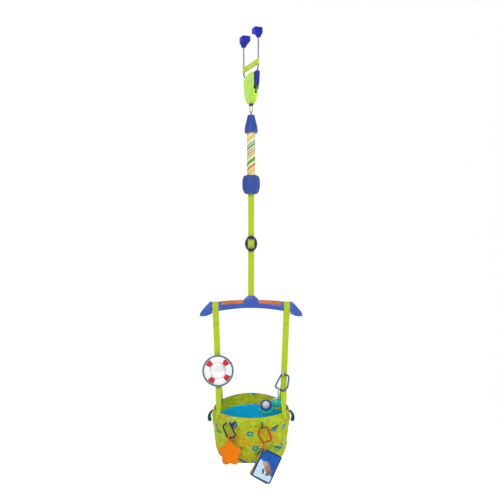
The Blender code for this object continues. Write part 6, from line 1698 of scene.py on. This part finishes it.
class JUMPER_OT_rattle(bpy.types.Operator):
    """Makes the rattle: a ring with its bead, a ribbed dome and a row of lobes"""

    bl_idname = "jumper.rattle"
    bl_label = "Rattle"

    def execute(self, context):
        low_left = Vector(STRAP_LINK_CORNERS[-1])
        spot = low_left.lerp(Vector(STRAP_LINK_CORNERS[-2]), 0.42)
        wire = strap_link_point(spot.x, spot.y)
        dome = Vector((0.104, RATTLE_Y, -1.522))
        radii = (0.025, 0.018, 0.0185)
        bar = Vector((wire.x, RATTLE_Y, dome.z + radii[2] + 0.0058))
        wrap = LINK_WIRE / 2.0 + 2.0 * LINK_PLAY + TAB_THICKNESS / 2.0
        foot_wrap = math.hypot(0.004, 0.003) / 2.0 + GAP + TAB_THICKNESS / 2.0
        ribbon_loop("rattle_loop", "pale ribbon", "rattle", (wire, wrap), (bar, foot_wrap), RIGHT, FRONT,
                    "rattle_ribbon")
        centre = Vector((0.060, RATTLE_Y, -1.530))
        path = [centre + Vector((a, 0.0, b)) for a, b in
                arc_points((0.0, 0.0), 0.0318, math.radians(205.0), math.radians(350.0), 96)]
        thick = [0.0085 * (0.5 + 0.5 * abs(math.sin(math.pi * step / 24)) ** 0.8) for step in range(97)]
        solids = [ball(dome, radii, 56, 28), tube(path, thick, 18)]
        lug = [(0.0033 + 0.0016 * math.cos(angle), 0.0020 * math.sin(angle)) for angle in circle(12)]
        solids.append(moved(lathe(lug, 28), facing_front(bar - UP * 0.0018)))
        wide, deep, tall = (radius * 1.012 for radius in radii)
        for lean in (-0.9, -0.45, 0.0, 0.45, 0.9):
            hoop = [dome + Vector((wide * math.sin(lean), deep * math.cos(lean) * math.cos(angle),
                                   tall * math.cos(lean) * math.sin(angle))) for angle in circle(60)]
            solids.append(tube(hoop, 0.0006, 8, closed=True))
        add_piece("rattle_shell", merged(*solids), "teal toy plastic", "rattle", replaces=("rattle_dome",))
        outer = 0.023
        inner = 0.0175
        half = 0.008
        edge = 0.0018
        section = rounded_outline(outer - inner, 2.0 * half, edge, 5, ((inner + outer) / 2.0, 0.0))
        hoop = moved(lathe(section, 72), facing_front(centre))
        axle = tube(evenly([centre - RIGHT * 0.0185, centre + RIGHT * 0.0185], 0.004), 0.0019, 14)
        add_piece("rattle_hoop", merged(hoop, axle), "navy toy plastic", "rattle",
                  replaces=("rattle_frame",))
        size = RATTLE_BALL_RADIUS
        last = math.acos(RATTLE_BALL_BORE / size)
        leans = [-last + 2.0 * last * step / 28 for step in range(29)]
        section = [((size - 0.0005 * math.sin(lean * 9.0) ** 2) * math.cos(lean), size * math.sin(lean))
                   for lean in leans]
        sideways = Matrix.Translation(centre) @ Matrix.Rotation(math.pi / 2.0, 4, 'Y')
        add_piece("rattle_ball", moved(lathe(section, 56), sideways), "violet bead", "rattle_bead",
                  replaces=("rattle_bead",))
        return {'FINISHED'}


class JUMPER_OT_star(bpy.types.Operator):
    """Makes the stuffed star with its seam and loop"""

    bl_idname = "jumper.star"
    bl_label = "Star"

    def execute(self, context):
        face = Face(STAR_REACH)
        low = lowest(STAR_LINK_CORNERS)
        wire = face.point(low.x, low.y, LINK_STAND_OFF)
        out = STAR_THICKNESS / 2.0 + STAR_STAND_OFF
        middle = face.point(STAR_REACH, STAR_DROP, out)

        def edge(angle, size):
            lobe = (0.5 + 0.5 * math.cos(5.0 * angle)) ** 0.85
            reach = STAR_RADIUS * STAR_FULLNESS * (STAR_WAIST_SHARE + (1.0 - STAR_WAIST_SHARE) * lobe) * size
            turn = angle + math.pi / 2.0 + STAR_TURN
            return face.along * math.cos(turn) * reach + UP * math.sin(turn) * reach

        levels = 12
        rings = []
        for level in range(-levels, levels + 1):
            lean = math.pi / 2.0 * level / levels
            size = max(0.02, math.cos(lean) ** 0.55)
            rise = math.sin(lean) * STAR_THICKNESS / 2.0
            ring = []
            for angle in circle(120):
                place = edge(angle, size)
                tuck = 0.00022 * math.sin(angle * 60.0) * math.exp(-(level / 2.0) ** 2)
                dimple = 0.0010 * noise.noise(place * 42.0) * math.cos(lean)
                ring.append(middle + place * (1.0 + tuck / STAR_RADIUS) + face.out * (rise + dimple))
            rings.append(ring)
        star = add_piece("stuffed_star", loft(rings), "orange plush", "star", replaces=("star_toy",))
        seam = [middle + edge(angle, 1.004) for angle in circle(240)]
        add_piece("star_seam", tube(seam, 0.0008, 8, closed=True), "orange thread", "star")
        bar = face.point(low.x, STAR_DROP - STAR_RADIUS - 0.0058, out)
        wrap = LINK_WIRE / 2.0 + LINK_PLAY * 1.5 + TAB_THICKNESS / 2.0
        foot = bar - UP * 0.0075
        ribbon_loop("star_ribbon", "orange ribbon", "star", (wire, wrap), (foot, 0.0022), face.along,
                    face.out, "star_loop")
        return {'FINISHED'}


class JUMPER_OT_cards(bpy.types.Operator):
    """Makes the two picture cards and their ribbon"""

    bl_idname = "jumper.cards"
    bl_label = "Picture cards"

    def execute(self, context):
        face = Face(CARD_HANG_REACH)
        low = lowest(RED_LINK_CORNERS)
        wire = face.point(low.x, low.y, LINK_STAND_OFF)
        foot_wrap = CARD_THICKNESS + GAP + 0.0012 + TAB_THICKNESS / 2.0
        middle_out = foot_wrap + TAB_THICKNESS / 2.0 + 2.0 * GAP
        hole = face.point(low.x, CARD_HANG_DROP + CARD_HOLE_INSET, middle_out)
        self.card("picture_card_back", "card_back", "back picture", -1.0, -CARD_FAN, face, hole)
        self.card("picture_card_front", "card_front", "front picture", 1.0, 0.0, face, hole)
        wrap = LINK_WIRE / 2.0 + LINK_PLAY + TAB_THICKNESS / 2.0
        foot = hole + UP * (foot_wrap - 0.0012)
        ribbon_loop("card_loop", "orange ribbon", "red_link", (wire, wrap), (foot, foot_wrap), face.along,
                    face.out, "card_ribbon")
        return {'FINISHED'}

    def card(self, name, body, look, sign, fan, face, hole):
        """One padded leaf with a pressed border; its UV map runs over the picture."""
        tilt = CARD_TILT - fan
        right = face.along * math.cos(tilt) - UP * math.sin(tilt)
        down = -face.along * math.sin(tilt) - UP * math.cos(tilt)
        corner = hole - right * CARD_HOLE_INSET - down * CARD_HOLE_INSET
        middle = sign * (GAP + CARD_THICKNESS) / 2.0
        half = CARD_THICKNESS / 2.0
        side = [(0.3, 0.0), (0.72, 0.0004), (0.98, 0.0014), (0.98, 0.0030), (0.70, 0.0042), (0.70, 0.0052),
                (0.94, 0.0085), (0.72, 0.0105)]
        levels = [(-half * share, inset) for share, inset in reversed(side)]
        levels += [(half * share, inset) for share, inset in side]
        rings = []
        flat = []
        centre = (CARD_WIDTH / 2.0, CARD_HEIGHT / 2.0)
        for out, inset in levels:
            outline = rounded_outline(CARD_WIDTH - 2.0 * inset, CARD_HEIGHT - 2.0 * inset,
                                      max(0.002, CARD_CORNER - inset), 6, centre)
            rings.append([corner + right * a + down * b + face.out * (middle + out) for a, b in outline])
            flat += outline
        bm = loft(rings)
        layer = bm.loops.layers.uv.verify()
        bm.verts.index_update()
        for polygon in bm.faces:
            for loop in polygon.loops:
                a, b = flat[loop.vert.index]
                loop[layer].uv = (a / CARD_WIDTH, 1.0 - b / CARD_HEIGHT)
        piece = add_piece(name, bm, look, None, replaces=(body,), sharp=50.0)
        reach = face.out * (3.0 * CARD_THICKNESS)
        hollow = tube([hole - reach, hole + reach], CARD_HOLE_RADIUS, 32)
        cut_with(piece, [moved(hollow, TURN)])
        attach(piece, body)


class JUMPER_OT_stage(bpy.types.Operator):
    """Makes the pale floor, the lamps, the world and the camera"""

    bl_idname = "jumper.stage"
    bl_label = "Stage"

    def execute(self, context):
        scene = context.scene
        scene.view_settings.view_transform = 'Standard'
        self.floor()
        self.world(scene)
        for name, place, size, power in (("Key lamp", (-2.6, -3.4, 1.4), 2.4, 88.0),
                                         ("Fill lamp", (3.0, -2.6, -0.6), 2.6, 40.0),
                                         ("Rim lamp", (1.2, 3.0, 0.8), 2.0, 36.0)):
            lamp = bpy.data.lights.new(name, 'AREA')
            lamp.energy = power
            lamp.size = size
            holder = bpy.data.objects.new(name, lamp)
            scene.collection.objects.link(holder)
            holder.location = place
            aim = Vector((0.0, 0.0, -0.95)) - Vector(place)
            holder.rotation_euler = aim.to_track_quat('-Z', 'Y').to_euler()
        self.camera(scene)
        return {'FINISHED'}

    def floor(self):
        """A wide pale floor that curves up behind the object."""
        rows = [(-9.0, -2.10), (4.0, -2.10), (6.0, -2.10), (7.2, -1.95), (8.2, -1.55), (8.9, -0.9),
                (9.2, 0.2), (9.3, 3.0), (9.3, 7.0)]
        bm = bmesh.new()
        lines = [[bm.verts.new((x, point.y, point.z)) for x in (-14.0, 14.0)]
                 for point in softened([(0.0, y, z) for y, z in rows], 2)]
        for before, after in zip(lines, lines[1:]):
            bm.faces.new((before[0], before[1], after[1], after[0]))
        material, tree, shader = blank("pale floor")
        seen = put(tree, 'ShaderNodeLightPath').outputs
        base = mix(tree, speckle(tree, object_place(tree), 5.0, 3.0), (0.90, 0.91, 0.92, 1.0),
                   (0.86, 0.87, 0.88, 1.0))
        any_view = maths(tree, 'MAXIMUM', seen['Is Camera Ray'],
                         maths(tree, 'MAXIMUM', seen['Is Glossy Ray'], seen['Is Transmission Ray']))
        feed(tree, shader, {'Base Color': base, 'Roughness': 0.9, 'Emission Color': (0.98, 0.985, 0.99, 1.0),
                            'Emission Strength': times(tree, any_view, 0.42)})
        mesh = bpy.data.meshes.new("Floor")
        bm.to_mesh(mesh)
        bm.free()
        smoothed(mesh)
        floor = bpy.data.objects.new("Floor", mesh)
        bpy.context.scene.collection.objects.link(floor)
        mesh.materials.append(material)

    def world(self, scene):
        """Even pale light; the camera sees it white."""
        world = scene.world or bpy.data.worlds.new("World")
        scene.world = world
        world.use_nodes = True
        tree = world.node_tree
        tree.nodes.clear()
        seen = put(tree, 'ShaderNodeLightPath')
        soft = put(tree, 'ShaderNodeBackground', {'Color': (0.97, 0.98, 1.0, 1.0), 'Strength': 0.66})
        white = put(tree, 'ShaderNodeBackground', {'Color': (0.985, 0.988, 0.992, 1.0), 'Strength': 1.0})
        both = put(tree, 'ShaderNodeMixShader', {0: seen.outputs['Is Camera Ray'], 1: soft.outputs[0],
                                                 2: white.outputs[0]})
        end = put(tree, 'ShaderNodeOutputWorld')
        tree.links.new(both.outputs[0], end.inputs[0])

    def camera(self, scene):
        """The photograph's view: level with the seat's rim, tipped up a little."""
        yaw = math.radians(22.535)
        pitch = math.radians(5.14)
        lens = bpy.data.cameras.new("Camera")
        lens.lens = 72.0
        lens.sensor_width = 36.0
        lens.clip_end = 60.0
        holder = bpy.data.objects.new("Camera", lens)
        scene.collection.objects.link(holder)
        holder.location = (-1.5756, -3.7852, -1.268)
        aim = Vector((math.sin(yaw) * math.cos(pitch), math.cos(yaw) * math.cos(pitch), math.sin(pitch)))
        holder.rotation_euler = aim.to_track_quat('-Z', 'Y').to_euler()
        scene.camera = holder


class JUMPER_PT_panel(bpy.types.Panel):
    """Sizes, colours and steps of the jumper's finish"""

    bl_idname = "JUMPER_PT_panel"
    bl_label = "Doorway jumper"
    bl_space_type = 'VIEW_3D'
    bl_region_type = 'UI'
    bl_category = "Jumper"

    def draw(self, context):
        layout = self.layout
        for settings in (context.scene.jumper_sizes, context.scene.jumper_colours):
            box = layout.box()
            for name in settings.bl_rna.properties.keys():
                if name not in ("rna_type", "name"):
                    box.prop(settings, name)
        for step in STEPS:
            layout.operator(step.bl_idname)


STEPS = (
    JUMPER_OT_stage, JUMPER_OT_clamp, JUMPER_OT_spring, JUMPER_OT_height_strap, JUMPER_OT_bar,
    JUMPER_OT_side_straps, JUMPER_OT_seat, JUMPER_OT_mirror, JUMPER_OT_links, JUMPER_OT_rattle,
    JUMPER_OT_star, JUMPER_OT_cards,
)
CLASSES = (JumperSizes, JumperColours) + STEPS + (JUMPER_PT_panel,)


def register():
    """Adds the settings, the steps and the panel."""
    for made in CLASSES:
        bpy.utils.register_class(made)
    bpy.types.Scene.jumper_sizes = bpy.props.PointerProperty(type=JumperSizes)
    bpy.types.Scene.jumper_colours = bpy.props.PointerProperty(type=JumperColours)


def unregister():
    """Removes them again."""
    del bpy.types.Scene.jumper_sizes
    del bpy.types.Scene.jumper_colours
    for made in reversed(CLASSES):
        bpy.utils.unregister_class(made)


def main():
    """Runs every step in order."""
    register()
    for step in STEPS:
        area, name = step.bl_idname.split(".")
        getattr(getattr(bpy.ops, area), name)()


if __name__ == "__main__":
    main()
